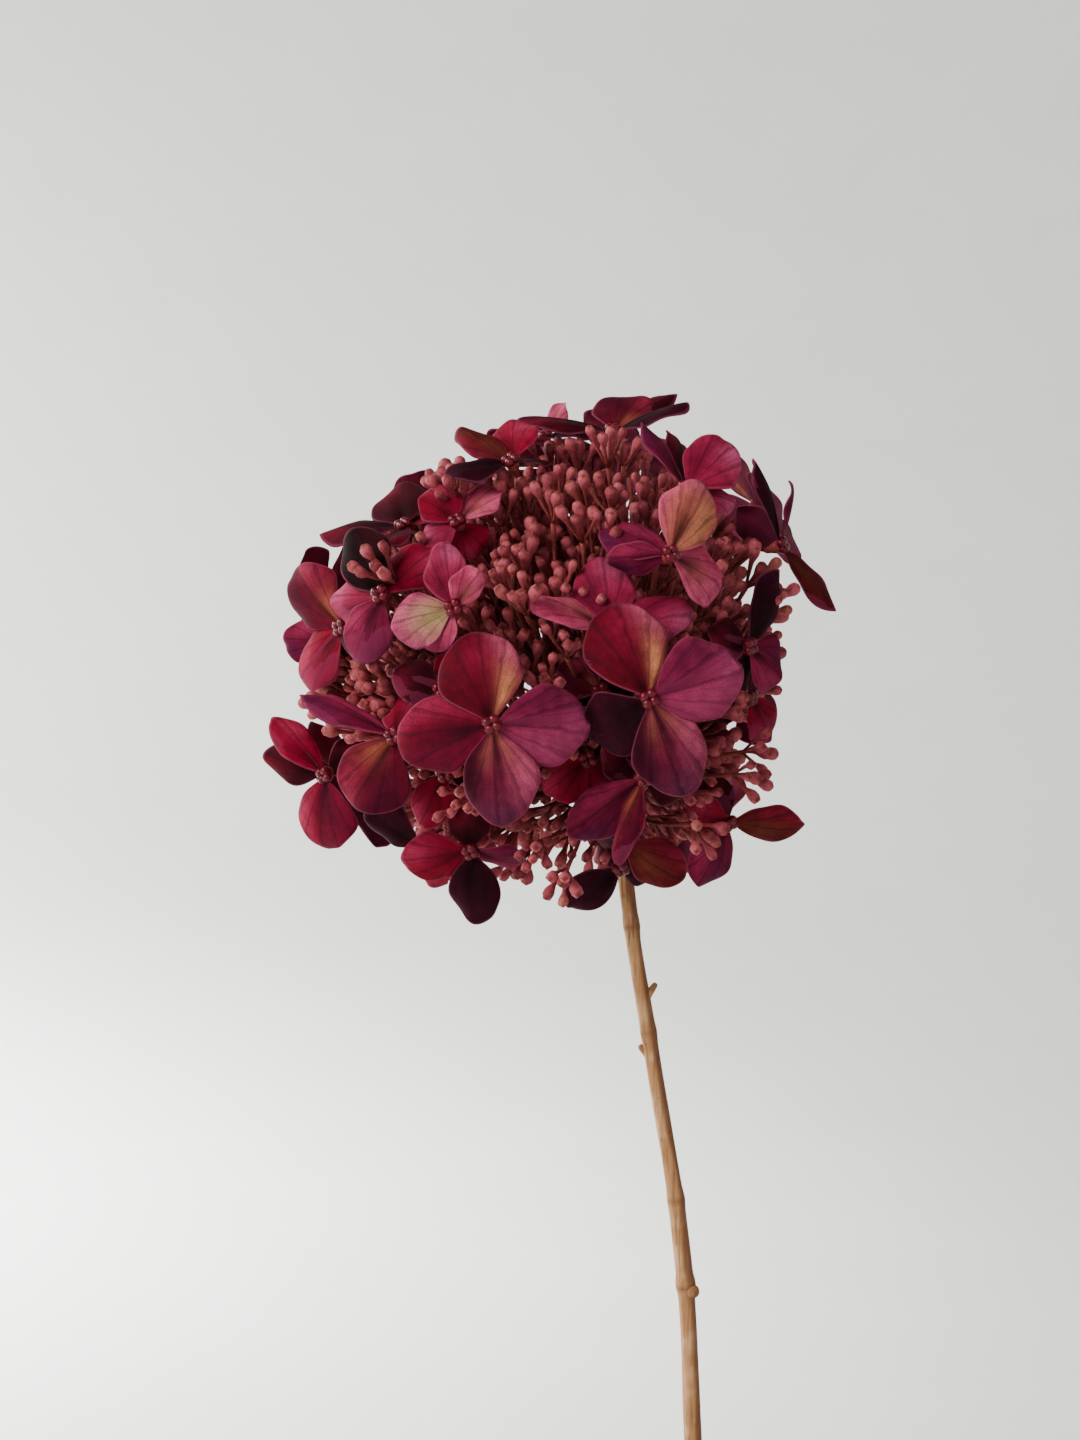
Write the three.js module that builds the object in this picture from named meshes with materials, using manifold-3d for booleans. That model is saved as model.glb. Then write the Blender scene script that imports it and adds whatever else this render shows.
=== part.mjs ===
// A dried lacecap hydrangea head on one bare woody stem, standing in a plain narrow-necked vase.
// Millimetres, +Z up. The origin is the middle of the vase's foot, and the viewer stands at -Y.

import * as THREE from 'three';
import { mergeVertices } from 'three/addons/utils/BufferGeometryUtils.js';
import Module from 'manifold-3d';

const wasm = await Module();
wasm.setup();

const RADIANS = Math.PI / 180;
const GOLDEN_ANGLE = Math.PI * (3 - Math.sqrt(5));
const TOUCH_GAP = 0.3;

const point = (x, y, z) => new THREE.Vector3(x, y, z);
const SIDEWAYS = point(0.3, 0.2, 1); // no bud direction is parallel to it

// ---- vase: turned stoneware with a full belly and a narrow neck, outline as [radius, height]

const VASE = {
  footRadius: 31,
  footChamfer: 1.5,
  belly: [45, 54],
  shoulder: [25, 117],
  throat: [13.6, 136],
  neckHeight: 146,
  rimHeight: 165,
  boreRadius: 7.8,
  wall: 4,
  rimRoll: 3,
  floor: 6,
  sides: 20,
  flankSteps: 9,
  rimSteps: 4,
};

// ---- stem: a woody rod that stands on the vase's floor and leans on its rim

const STEM = {
  sides: 6,
  // Middle line from foot to hub, each with the radius there.
  line: [
    [1.7, 0, 6.5, 2.7],
    [-1.7, 0, 85, 2.7],
    [-4.8, 0, 160, 2.65],
    [-5.5, 0, 178.6, 2.6],
    [-6.8, 0, 209.6, 2.4],
    [-7.6, 0, 222, 2.5],
    [-10.6, 0, 248, 2.35],
    [-12.9, 0, 262.4, 2.25],
    [-17.1, 0, 287, 2.25],
    [-20.6, 0, 308.5, 2.2],
    [-22.9, 0, 322.1, 2.2],
    [-25.3, 0, 342.4, 2.3],
    [-30.2, 0, 364.7, 3.1],
  ],
  ringStep: 20,
  // Heights of the raised rings where leaves once grew, with how far each stands out.
  collars: [
    [223.2, 0.7],
    [247.9, 0.6],
    [296.3, 0.55],
    [327.4, 0.55],
  ],
  collarHalfHeight: 2.2,
  // Side shoots that broke off: a low bud scar, and two short stubs that point up.
  offshoots: [
    { height: 221.2, side: 1, reach: 1.9, rise: 0, root: 2.2, tip: 1.6, sides: 6 },
    { height: 305, side: 1, reach: 2.6, rise: 5.5, root: 1, tip: 0.75, sides: 4 },
    { height: 287.5, side: -1, reach: 2.3, rise: 5, root: 0.9, tip: 0.7, sides: 4 },
  ],
};

// ---- head: the dome of buds, and the knob on the stem's end that its stalks grow from

const HUB = point(-30.6, 0, 366.5);
const KNOB_RADIUS = 5;
const DOME = { middle: point(-47.7, 0, 405.7), radii: point(66, 64, 69) };

const SPRAYS = { count: 13, lowest: -1, turn: 5.8, fork: 0.42 };
const CLUSTERS = { count: 46, lowest: -0.88, turn: 0, depth: 11, buds: 3, spread: 6, jitter: 2 };
const BUD = { radius: 1.45, crown: 0.7, length: 4.2, bellyShare: 0.42 };
const STALK = { ray: 1.05, limb: 0.65, pedicel: 0.65, bud: 0.35, sides: 3, raySides: 5 };
const KNUCKLE = { ray: 2.3, fork: 1.7, rootShare: 0.4 };
const CELL_MARGIN = 2.3;
const STEM_CLEARANCE = 6;
const STALK_CLEARANCE = 0.5;
const BUD_CLEARANCE = 0.7;
const PEDICEL_RUN = 7; // how far a floret's stalk runs straight behind it

// ---- florets: four sepals about a small eye, each on a stalk from the dome

const SEPAL = { thickness: 0.8, root: 0.3, bow: 0.05, cup: -0.06, rows: [0.36, 0.72, 0.97] };
const EYE = { radius: 2.3, height: 2.2, neck: 1, length: 4.5, sides: 4 };

// The florets the viewer sees. middle: from the dome's middle. facing: degrees, the bearing from the
// viewer (+ to the right) and the elevation. sepals: the tip from the floret's middle, the width,
// and the roll about the sepal's own length in degrees.
const FRONT_FLORETS = [
  {
    middle: [-14.5, -76, -20],
    facing: [-3, 0],
    sepals: [[-5.5, 6, 24, 22.5, 0], [25.5, 8, 0, 21, 0], [3.5, 6, -26.5, 20, 0], [-25.5, 9, -5, 20.5, 0]],
  },
  {
    middle: [25.5, -75, -13.5],
    facing: [6, 0],
    sepals: [[-10, 8, 25, 22, 0], [24.5, 6, 9, 22, 0], [10.5, 5, -25, 20, 0], [-14.5, 16, -12, 19, 0]],
  },
  {
    middle: [31.5, -64, 24],
    facing: [20, 20],
    sepals: [[9.5, 10, 20.5, 16.5, 0], [15, 13, -6.5, 19, 0], [-18, 10, 8, 13, 0], [-16.5, 2, -1.5, 10, -50]],
  },
  {
    middle: [16, -60, 5],
    facing: [0, 15],
    sepals: [[-3, 8, 19.5, 17, 0], [22.5, 6, 6, 13, 0], [-2.5, 3, -13, 12, 0], [-21, -2, 8.5, 12, 35]],
  },
  {
    middle: [-24.5, -67, 10],
    facing: [-12, 8],
    sepals: [[-4, 4, 17.5, 12, 0], [6, -6, 10, 9, 30], [-7.5, 2, -10, 11, 0], [-16.5, 3, -5, 14.5, 0]],
  },
  {
    middle: [-55.5, -44, 6],
    facing: [-40, 0],
    sepals: [[-15.5, 10, 16, 18, 0], [-12.5, 10, -15, 15, 0], [5.5, 14, 12.5, 14, 0], [5, 14, -11, 14, 0]],
  },
  {
    middle: [-44, -58, 14],
    facing: [-22, 8],
    sepals: [[-9, 10, 18.5, 16, 0], [13.5, 10, 14, 15, 0], [-7, 3, -17.5, 15, 0], [-15, 14, -1, 13, 0]],
  },
  {
    middle: [-39.5, -34, 34],
    facing: [-35, 58],
    sepals: [[-24, 6, -1, 13, 0], [-2.5, 16, 14, 18, 0], [13, 8, 6.5, 12, 0], [-4.5, -12, -6, 11, 0]],
  },
  {
    middle: [-10, -36, 51.5],
    facing: [-25, 45],
    sepals: [[-18.5, -4, -3.5, 11, 0], [-16, 12, 11, 9, 0], [-0.5, 12, 13.5, 16, 0], [9, 14, 2, 12, 0]],
  },
  {
    middle: [18.5, -15, 62.5],
    facing: [10, 66],
    sepals: [[-27.5, -2, 4, 12, 0], [7, 12, 13, 20, 0], [21, -4, 8, 11, 0], [18.5, 16, 14.5, 9, 0]],
  },
  {
    middle: [37, -46, 43],
    facing: [25, 35],
    sepals: [[-11.5, 4, 19, 9, 20], [-3, 14, 18.5, 9, 30], [13, 8, 14.5, 16.5, 0], [14, 8, -2, 12, 0]],
  },
  {
    middle: [66, -12, 30.5],
    facing: [65, 15],
    sepals: [[-7.5, -6, 24.5, 10, 0], [5, 6, 19, 9, 25], [16, -2, -18, 11, 15], [-12, 6, 11.5, 14, 50]],
  },
  {
    middle: [54, -40, 1],
    facing: [48, 0],
    sepals: [[10, 8, 21.5, 12, 0], [10.5, 8, -7.5, 17, 0], [-3, 6, -15.5, 12, 0], [-11, -9, 3, 12, 0]],
  },
  {
    middle: [56, -22, -12.5],
    facing: [55, -15],
    sepals: [[7.5, 6, -11.5, 13, 0], [6.5, 10, 12, 12, 0], [-12.5, -4, -5, 12, 0]],
  },
  {
    middle: [50.5, -20, -47.5],
    facing: [35, -30],
    sepals: [[21, -4, -1, 13, 0], [-8, 0, -18.5, 16.5, 0], [-6, -2, 14, 11, 0], [-13, -7, 3, 12, 0]],
  },
  {
    middle: [20, -42, -52],
    facing: [10, -30],
    sepals: [[17, 0, -10, 15, 0], [-8.5, 12, 0.5, 12, 0], [5, 8, 12.5, 12, 0]],
  },
  {
    middle: [25, -58, -34],
    facing: [0, -12],
    sepals: [[-19.5, 6, -16.5, 14, 0], [-7.5, -2, -22.5, 8, 35], [-10.5, 6, 9, 13, 0], [13, 8, -4, 12, 0]],
  },
  {
    middle: [-40.5, -58, -23],
    facing: [-18, -8],
    sepals: [[-8.5, 4, -20, 19, 0], [-25.5, 4, 11.5, 8, 50], [3, 12, 11, 11, 0], [5, 14, -8, 11, 0]],
  },
  {
    middle: [-62, -24, -34],
    facing: [-35, -12],
    sepals: [[-15.5, 2, 16, 10, 50], [-18.5, 6, 5, 12, 0], [-1.5, 4, -21.5, 19, 0], [12.5, 6, 8.5, 12, 0]],
  },
  {
    middle: [-21, -42, -54],
    facing: [-8, -32],
    sepals: [[-19, 2, -4, 16, 0], [2, 6, -21, 14.5, 0], [15, 4, -4, 11, 20], [-1, -5, 12, 12, 0]],
  },
  {
    middle: [-35, -20, -54.5],
    facing: [-30, -40],
    sepals: [[-17.5, 4, 11, 12, 20], [3.5, 8, -12.5, 12, 0], [10.5, 6, 8, 12, 0]],
  },
  {
    middle: [20, -28, -59.5],
    facing: [5, -40],
    sepals: [[-14.5, 2, -12, 14, 0], [13.5, 8, -3, 12, 0], [-5.5, 8, 11, 12, 0]],
  },
  {
    middle: [10.5, -48, -29],
    facing: [0, -10],
    sepals: [[-11, 2, -10.5, 14, 0], [9, 5, -9, 11, 0], [8, 8, 10, 10, 0]],
  },
  {
    middle: [-28, -56, -11],
    facing: [-15, 5],
    sepals: [[-13.5, 2, 4.5, 12, 0], [6, 8, 11.5, 12, 0], [2.5, 8, -11.5, 12, 0]],
  },
  {
    middle: [-27.5, -50, -33],
    facing: [-12, -15],
    sepals: [[-6.5, 4, -15, 12, 0], [-3, 10, 11, 10, 0], [11, 8, 2, 12, 0]],
  },
  {
    middle: [14, -50, -11.5],
    facing: [0, 5],
    sepals: [[-11, 2, 7.5, 12, 0], [9, 8, 8, 12, 0], [-8, 10, -7, 10, 0]],
  },
  {
    middle: [-24.5, -42, 34.5],
    facing: [-20, 40],
    sepals: [[-9, 6, 10, 13, 0], [9.5, 8, 11.5, 14, 0], [6, 2, -9, 12, 0], [-9.5, 0, -6, 12, 0]],
  },
  {
    middle: [-61.5, -18, 3],
    facing: [-70, 0],
    sepals: [[-14, 4, 0.5, 12, 0], [-5.5, 6, 15.5, 14, 0], [-4, 4, -16, 13, 0], [2, 24, -2.5, 14, 0]],
  },
  {
    middle: [-1, 12, 64.5],
    facing: [-20, 70],
    sepals: [[5.5, 2, 11.5, 9, 0], [-10, 8, 5, 12, 0], [-4.5, -14, -2.5, 10, 0], [13.5, 10, 3.5, 12, 0]],
  },
];

// The unseen side: bearing and elevation seen from the dome's middle, distance from it and spin.
const BACK_FLORETS = [
  [112, 34, 82, 10],
  [126, -6, 74, 40],
  [148, 12, 84, 65],
  [146, 50, 80, 20],
  [172, -18, 80, 35],
  [184, 24, 84, 5],
  [210, -4, 81, 50],
  [214, 34, 77, 45],
  [240, -28, 80, 15],
  [244, 14, 77, 60],
  [132, -40, 78, 30],
  [180, 56, 71, 45],
];
const BACK_SEPAL = { length: 23, width: 18.5, lifts: [4, -9], variation: 2.5 };

const COLOURS = {
  vase: { color: 0xd9d3c7, roughness: 0.55 },
  stem: { color: 0xa9825a, roughness: 0.8 },
  spray: { color: 0x74303a, roughness: 0.7 },
  floret: { color: 0x8c2a4a, roughness: 0.75 },
};

/** A repeatable number from 0 to 1 for two whole numbers. */
function chance(first, second) {
  const wave = Math.sin(first * 127.1 + second * 311.7) * 43758.5453;
  return wave - Math.floor(wave);
}

/** The unit direction of a bearing from the viewer and an elevation, in degrees. */
function facing(bearing, elevation) {
  const level = Math.cos(elevation * RADIANS);
  return point(
    Math.sin(bearing * RADIANS) * level,
    -Math.cos(bearing * RADIANS) * level,
    Math.sin(elevation * RADIANS),
  );
}

/** Unit directions spread evenly over a ball, down to the height `lowest`, from a first `turn`. */
function evenDirections({ count, lowest, turn: firstTurn }) {
  return Array.from({ length: count }, (_, index) => {
    const height = 1 - ((index + 0.5) / count) * (1 - lowest);
    const level = Math.sqrt(1 - height * height);
    const turn = firstTurn + index * GOLDEN_ANGLE;
    return point(level * Math.cos(turn), level * Math.sin(turn), height);
  });
}

// ---- solids

/** A closed geometry as a manifold solid. */
function toSolid(geometry) {
  const bare = geometry.clone();
  bare.deleteAttribute('normal');
  bare.deleteAttribute('uv');
  const merged = mergeVertices(bare, 1e-4);
  const mesh = new wasm.Mesh({
    numProp: 3,
    vertProperties: new Float32Array(merged.attributes.position.array),
    triVerts: new Uint32Array(merged.index.array),
  });
  return new wasm.Manifold(mesh);
}

/** All the closed geometries joined into one. */
function fuse(geometries) {
  const joined = geometries.map(toSolid).reduce((whole, next) => whole.add(next));
  const mesh = joined.getMesh();
  const geometry = new THREE.BufferGeometry();
  geometry.setAttribute('position', new THREE.BufferAttribute(mesh.vertProperties, 3));
  geometry.setIndex(new THREE.BufferAttribute(mesh.triVerts, 1));
  return geometry;
}

/** A closed skin over rings of the same number of points, each turning left seen from its far end. */
function skin(rings) {
  const sides = rings[0].length;
  const positions = rings.flat().flatMap((corner) => corner.toArray());
  const faces = [];
  for (let row = 0; row < rings.length - 1; row += 1) {
    for (let side = 0; side < sides; side += 1) {
      const a = row * sides + side;
      const b = row * sides + ((side + 1) % sides);
      faces.push(a, b, b + sides, a, b + sides, a + sides);
    }
  }
  const last = (rings.length - 1) * sides;
  for (let side = 1; side < sides - 1; side += 1) {
    faces.push(0, side + 1, side, last, last + side, last + side + 1);
  }
  const geometry = new THREE.BufferGeometry();
  geometry.setAttribute('position', new THREE.Float32BufferAttribute(positions, 3));
  geometry.setIndex(faces);
  return geometry;
}

/** A tapering limb through the places, with a radius at each. */
function limb(line, radii, sides) {
  const tangents = line.map((_, index) => {
    const before = line[Math.max(index - 1, 0)];
    const after = line[Math.min(index + 1, line.length - 1)];
    return after.clone().sub(before).normalize();
  });
  const helper = Math.abs(tangents[0].z) < 0.9 ? point(0, 0, 1) : point(1, 0, 0);
  const side = helper.clone().cross(tangents[0]).normalize();
  const turn = new THREE.Quaternion();
  const rings = line.map((place, index) => {
    if (index > 0) {
      side.applyQuaternion(turn.setFromUnitVectors(tangents[index - 1], tangents[index])).normalize();
    }
    const other = tangents[index].clone().cross(side);
    return Array.from({ length: sides }, (_, corner) => {
      const angle = (corner / sides) * 2 * Math.PI;
      return place
        .clone()
        .addScaledVector(side, Math.cos(angle) * radii[index])
        .addScaledVector(other, Math.sin(angle) * radii[index]);
    });
  });
  return skin(rings);
}

/** The first place moved a little towards the second. */
function towards(first, second, distance) {
  return first.clone().add(second.clone().sub(first).setLength(distance));
}

/** A small ball that joins the stalks which meet at a place. */
function knuckle(place, radius) {
  return new THREE.OctahedronGeometry(radius).translate(place.x, place.y, place.z);
}

/** A turned solid about +Z from its [radius, height] outline, walked up the outside. */
function turned(outline, sides) {
  const corners = outline.map(([radius, height]) => new THREE.Vector2(radius, height));
  return new THREE.LatheGeometry(corners, sides).rotateX(Math.PI / 2);
}

// ---- vase

function vaseGeometry() {
  const neckRadius = VASE.boreRadius + VASE.wall;
  const flank = new THREE.SplineCurve([
    new THREE.Vector2(VASE.footRadius + VASE.footChamfer, VASE.footChamfer),
    new THREE.Vector2(...VASE.belly),
    new THREE.Vector2(...VASE.shoulder),
    new THREE.Vector2(...VASE.throat),
    new THREE.Vector2(neckRadius, VASE.neckHeight),
    new THREE.Vector2(neckRadius, VASE.rimHeight - 2 * VASE.rimRoll),
  ]);
  const outside = [];
  const inside = [];
  for (let step = 0; step <= VASE.flankSteps; step += 1) {
    const place = flank.getPoint(step / VASE.flankSteps);
    const along = flank.getTangent(step / VASE.flankSteps);
    outside.push([place.x, place.y]);
    const inner = [place.x - along.y * VASE.wall, place.y + along.x * VASE.wall];
    if (inner[1] > VASE.floor + VASE.wall) {
      inside.unshift(inner);
    }
  }
  // The rolled rim, from under its outer edge over the top to the bore.
  const rim = [];
  const rollMiddle = VASE.rimHeight - VASE.rimRoll;
  const rollRadius = (VASE.wall + VASE.rimRoll) / 2;
  const firstAngle = -27 * RADIANS;
  for (let step = 0; step <= VASE.rimSteps; step += 1) {
    const angle = THREE.MathUtils.lerp(firstAngle, Math.PI, step / VASE.rimSteps);
    rim.push([
      VASE.boreRadius + rollRadius + Math.cos(angle) * rollRadius,
      rollMiddle + Math.sin(angle) * VASE.rimRoll,
    ]);
  }
  const floorRadius = inside[inside.length - 1][0] - VASE.wall;
  return turned(
    [
      [0, 0],
      [VASE.footRadius, 0],
      ...outside,
      ...rim,
      ...inside,
      [floorRadius, VASE.floor],
      [0, VASE.floor],
    ],
    VASE.sides,
  );
}

// ---- stem

/** The stem's middle and radius at a height. */
function stemAt(height) {
  const { line } = STEM;
  const index = Math.min(Math.max(line.findIndex(([, , z]) => z >= height), 1), line.length - 1);
  const [x0, , z0, r0] = line[index - 1];
  const [x1, , z1, r1] = line[index];
  const share = (height - z0) / (z1 - z0);
  return { middle: point(x0 + (x1 - x0) * share, 0, height), radius: r0 + (r1 - r0) * share };
}

function stemGeometry() {
  const foot = STEM.line[0][2];
  const top = STEM.line[STEM.line.length - 1][2];
  const heights = [];
  for (let height = foot; height < top; height += STEM.ringStep) {
    const nearCollar = STEM.collars.some(([collar]) => Math.abs(collar - height) < STEM.ringStep / 2);
    if (!nearCollar) {
      heights.push(height);
    }
  }
  for (const [collar] of STEM.collars) {
    heights.push(collar - STEM.collarHalfHeight, collar, collar + STEM.collarHalfHeight);
  }
  heights.push(top);
  heights.sort((a, b) => a - b);
  const points = heights.map((height) => stemAt(height).middle);
  const radii = heights.map((height) => {
    const collar = STEM.collars.find(([place]) => place === height);
    return stemAt(height).radius + (collar ? collar[1] : 0);
  });
  const rod = limb(points, radii, STEM.sides);
  const knob = new THREE.IcosahedronGeometry(KNOB_RADIUS, 1).translate(HUB.x, HUB.y, HUB.z);

  const offshoots = STEM.offshoots.map(({ height, side, reach, rise, root, tip, sides }) => {
    const { middle, radius } = stemAt(height);
    const end = middle.clone().add(point(side * (radius + reach), 0, rise));
    return limb([middle, end], [root, tip], sides);
  });
  return fuse([rod, knob, ...offshoots]);
}

// ---- sepals and florets

/** How wide a sepal is at a share of its length, as a share of its width. */
function sepalOutline(share) {
  return Math.sin(Math.PI * share ** 1.1) ** (1 - 0.5 * share);
}

/** A sepal's own axes: along it, across it and out of its face. */
function placeSepal(middle, normal, [x, y, z, width, roll]) {
  const along = point(x, y, z);
  const length = along.length();
  along.normalize();
  const face = normal.clone().addScaledVector(along, -normal.dot(along)).normalize();
  face.applyAxisAngle(along, roll * RADIANS);
  const across = face.clone().cross(along);
  return { middle, along, across, face, length, width };
}

/** A place on a sepal: share 0 to 1 along it, side -1 to 1 across it. */
function sepalPoint(sepal, share, side) {
  const outline = Math.max(sepalOutline(share), 1.2 / sepal.width);
  const rise =
    SEPAL.bow * 4 * (share - share * share) * sepal.length +
    SEPAL.cup * sepal.length * (side * outline) ** 2;
  return sepal.middle
    .clone()
    .addScaledVector(sepal.along, SEPAL.root + (sepal.length - SEPAL.root) * share)
    .addScaledVector(sepal.across, (outline * sepal.width * side) / 2)
    .addScaledVector(sepal.face, rise);
}

/** Whether a place lies nearer than `gap` to a sepal. */
function nearSepal(place, sepal, gap) {
  const offset = place.clone().sub(sepal.middle);
  const along = offset.dot(sepal.along);
  if (along < -gap || along > sepal.length + gap) {
    return false;
  }
  const share = Math.min(Math.max((along - SEPAL.root) / (sepal.length - SEPAL.root), 0.03), 0.97);
  const half = (sepalOutline(share) * sepal.width) / 2;
  const across = offset.dot(sepal.across);
  if (Math.abs(across) > half + gap) {
    return false;
  }
  const side = Math.min(Math.max(across / half, -1), 1);
  const above = place.clone().sub(sepalPoint(sepal, share, side)).dot(sepal.face);
  return Math.abs(above) < gap + SEPAL.thickness / 2;
}

/** One sepal as a thin blade from a narrow root, split into triangles alike on both faces. */
function sepalGeometry(sepal) {
  const sides = [-1, 0, 1];
  const half = sepal.face.clone().multiplyScalar(SEPAL.thickness / 2);
  const middles = [
    sepalPoint(sepal, 0, 0),
    ...SEPAL.rows.flatMap((share) => sides.map((side) => sepalPoint(sepal, share, side))),
  ];
  const upper = middles.map((place) => place.clone().add(half));
  const lower = middles.map((place) => place.clone().sub(half));
  const positions = [...upper, ...lower].flatMap((place) => place.toArray());
  const under = middles.length;
  const width = sides.length;
  const rows = SEPAL.rows.length;
  const faces = [];
  const onBoth = (a, b, c) => faces.push(a, b, c, a + under, c + under, b + under);
  const edge = (a, b) => faces.push(a, b + under, b, a, a + under, b + under);
  for (let column = 0; column < width - 1; column += 1) {
    onBoth(0, column + 1, column + 2);
  }
  edge(0, 1);
  edge(width, 0);
  for (let row = 0; row < rows - 1; row += 1) {
    const left = 1 + row * width;
    for (let a = left; a < left + width - 1; a += 1) {
      onBoth(a, a + width, a + width + 1);
      onBoth(a, a + width + 1, a + 1);
    }
    edge(left, left + width);
    edge(left + 2 * width - 1, left + width - 1);
  }
  const tip = 1 + (rows - 1) * width;
  for (let a = tip; a < tip + width - 1; a += 1) {
    edge(a, a + 1);
  }
  const geometry = new THREE.BufferGeometry();
  geometry.setAttribute('position', new THREE.Float32BufferAttribute(positions, 3));
  geometry.setIndex(faces);
  return geometry;
}

/** The eye and the swelling under it, which ends flat where the stalk meets it. */
function eyeGeometry(middle, normal) {
  const eye = turned(
    [
      [0, -EYE.length],
      [EYE.neck, -EYE.length],
      [EYE.radius, 0.5],
      [0, EYE.height],
    ],
    EYE.sides,
  );
  const turn = new THREE.Quaternion().setFromUnitVectors(point(0, 0, 1), normal);
  return eye.applyQuaternion(turn).translate(middle.x, middle.y, middle.z);
}

function frontFloret({ middle, facing: [bearing, elevation], sepals }) {
  const place = DOME.middle.clone().add(point(...middle));
  const normal = facing(bearing, elevation);
  return { middle: place, normal, sepals: sepals.map((sepal) => placeSepal(place, normal, sepal)) };
}

function backFloret([bearing, elevation, distance, spin], index) {
  const normal = facing(bearing, elevation);
  const place = DOME.middle.clone().addScaledVector(normal, distance);
  const upward = point(0, 0, 1).addScaledVector(normal, -normal.z).normalize();
  const sepals = [0, 1, 2, 3].map((turn) => {
    const length = BACK_SEPAL.length + (chance(index, turn) - 0.5) * 2 * BACK_SEPAL.variation;
    const tip = upward
      .clone()
      .applyAxisAngle(normal, -(spin + turn * 90) * RADIANS)
      .addScaledVector(normal, Math.tan(BACK_SEPAL.lifts[turn % 2] * RADIANS))
      .setLength(length);
    return placeSepal(place, normal, [...tip.toArray(), BACK_SEPAL.width, 0]);
  });
  return { middle: place, normal, sepals };
}

function floretGeometry({ middle, normal, sepals }) {
  return fuse([eyeGeometry(middle, normal), ...sepals.map(sepalGeometry)]);
}

// ---- sprays: each keeps to its own cone about the hub, so that no two cross

const sprayAxes = evenDirections(SPRAYS).map((direction) =>
  DOME.middle.clone().add(direction.multiply(DOME.radii)).sub(HUB),
);
const sprayDirections = sprayAxes.map((axis) => axis.clone().normalize());

/** Which spray's cone holds a place. */
function sprayOf(place) {
  const offset = place.clone().sub(HUB);
  const shares = sprayDirections.map((direction) => direction.dot(offset));
  return shares.indexOf(Math.max(...shares));
}

/** The place moved, where it must be, to lie a margin inside a spray's cone. */
function keptInside(place, spray, margin) {
  const kept = place.clone();
  for (let pass = 0; pass < 3; pass += 1) {
    sprayDirections.forEach((direction, other) => {
      if (other === spray) {
        return;
      }
      const wall = sprayDirections[spray].clone().sub(direction).normalize();
      const inside = kept.clone().sub(HUB).dot(wall);
      if (inside < margin) {
        kept.addScaledVector(wall, margin - inside);
      }
    });
  }
  return kept;
}

/** Whether a straight stalk between two places stays clear of every sepal and of the stem. */
function isFree(start, end, gap, sepals) {
  const steps = Math.ceil(start.distanceTo(end) / 1.5);
  for (let step = 0; step <= steps; step += 1) {
    const place = start.clone().lerp(end, step / steps);
    if (sepals.some((sepal) => nearSepal(place, sepal, gap))) {
      return false;
    }
    if (place.z < HUB.z && place.distanceTo(stemAt(place.z).middle) < STEM_CLEARANCE) {
      return false;
    }
  }
  return true;
}

/** A bud on its stalk, from the cluster's fork to the bud's crown. */
function budLimb(fork, tip) {
  const back = fork.clone().sub(tip).normalize();
  const neck = tip.clone().addScaledVector(back, BUD.length);
  const belly = tip.clone().addScaledVector(back, BUD.length * BUD.bellyShare);
  const root = towards(fork, tip, KNUCKLE.fork * KNUCKLE.rootShare);
  return limb([root, neck, belly, tip], [STALK.bud, STALK.bud, BUD.radius, BUD.crown], STALK.sides);
}

/** The bud clusters of the dome: the fork of each and its buds' tips, in the spray that holds it. */
function budClusters(sepals) {
  const clusters = [];
  evenDirections(CLUSTERS).forEach((direction, index) => {
    const surface = DOME.middle.clone().add(direction.clone().multiply(DOME.radii));
    const inward = HUB.clone().sub(surface).normalize();
    const spray = sprayOf(surface);
    const fork = keptInside(surface.clone().addScaledVector(inward, CLUSTERS.depth), spray, CELL_MARGIN);
    const side = direction.clone().cross(SIDEWAYS).normalize();
    const tips = [];
    for (let bud = 0; bud < CLUSTERS.buds; bud += 1) {
      const spread = CLUSTERS.spread * (0.75 + 0.5 * chance(index, bud));
      const outward = side.clone().applyAxisAngle(direction, (bud + chance(index, 9) / 2) * (Math.PI / 2));
      const tip = surface
        .clone()
        .addScaledVector(outward, spread)
        .addScaledVector(inward, CLUSTERS.jitter * (2 * chance(index, bud + 20) - 1));
      const kept = keptInside(tip, spray, CELL_MARGIN);
      if (isFree(fork, kept, BUD.radius + BUD_CLEARANCE, sepals)) {
        tips.push(kept);
      }
    }
    if (tips.length > 0) {
      clusters.push({ spray, fork, tips });
    }
  });
  return clusters;
}

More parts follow.
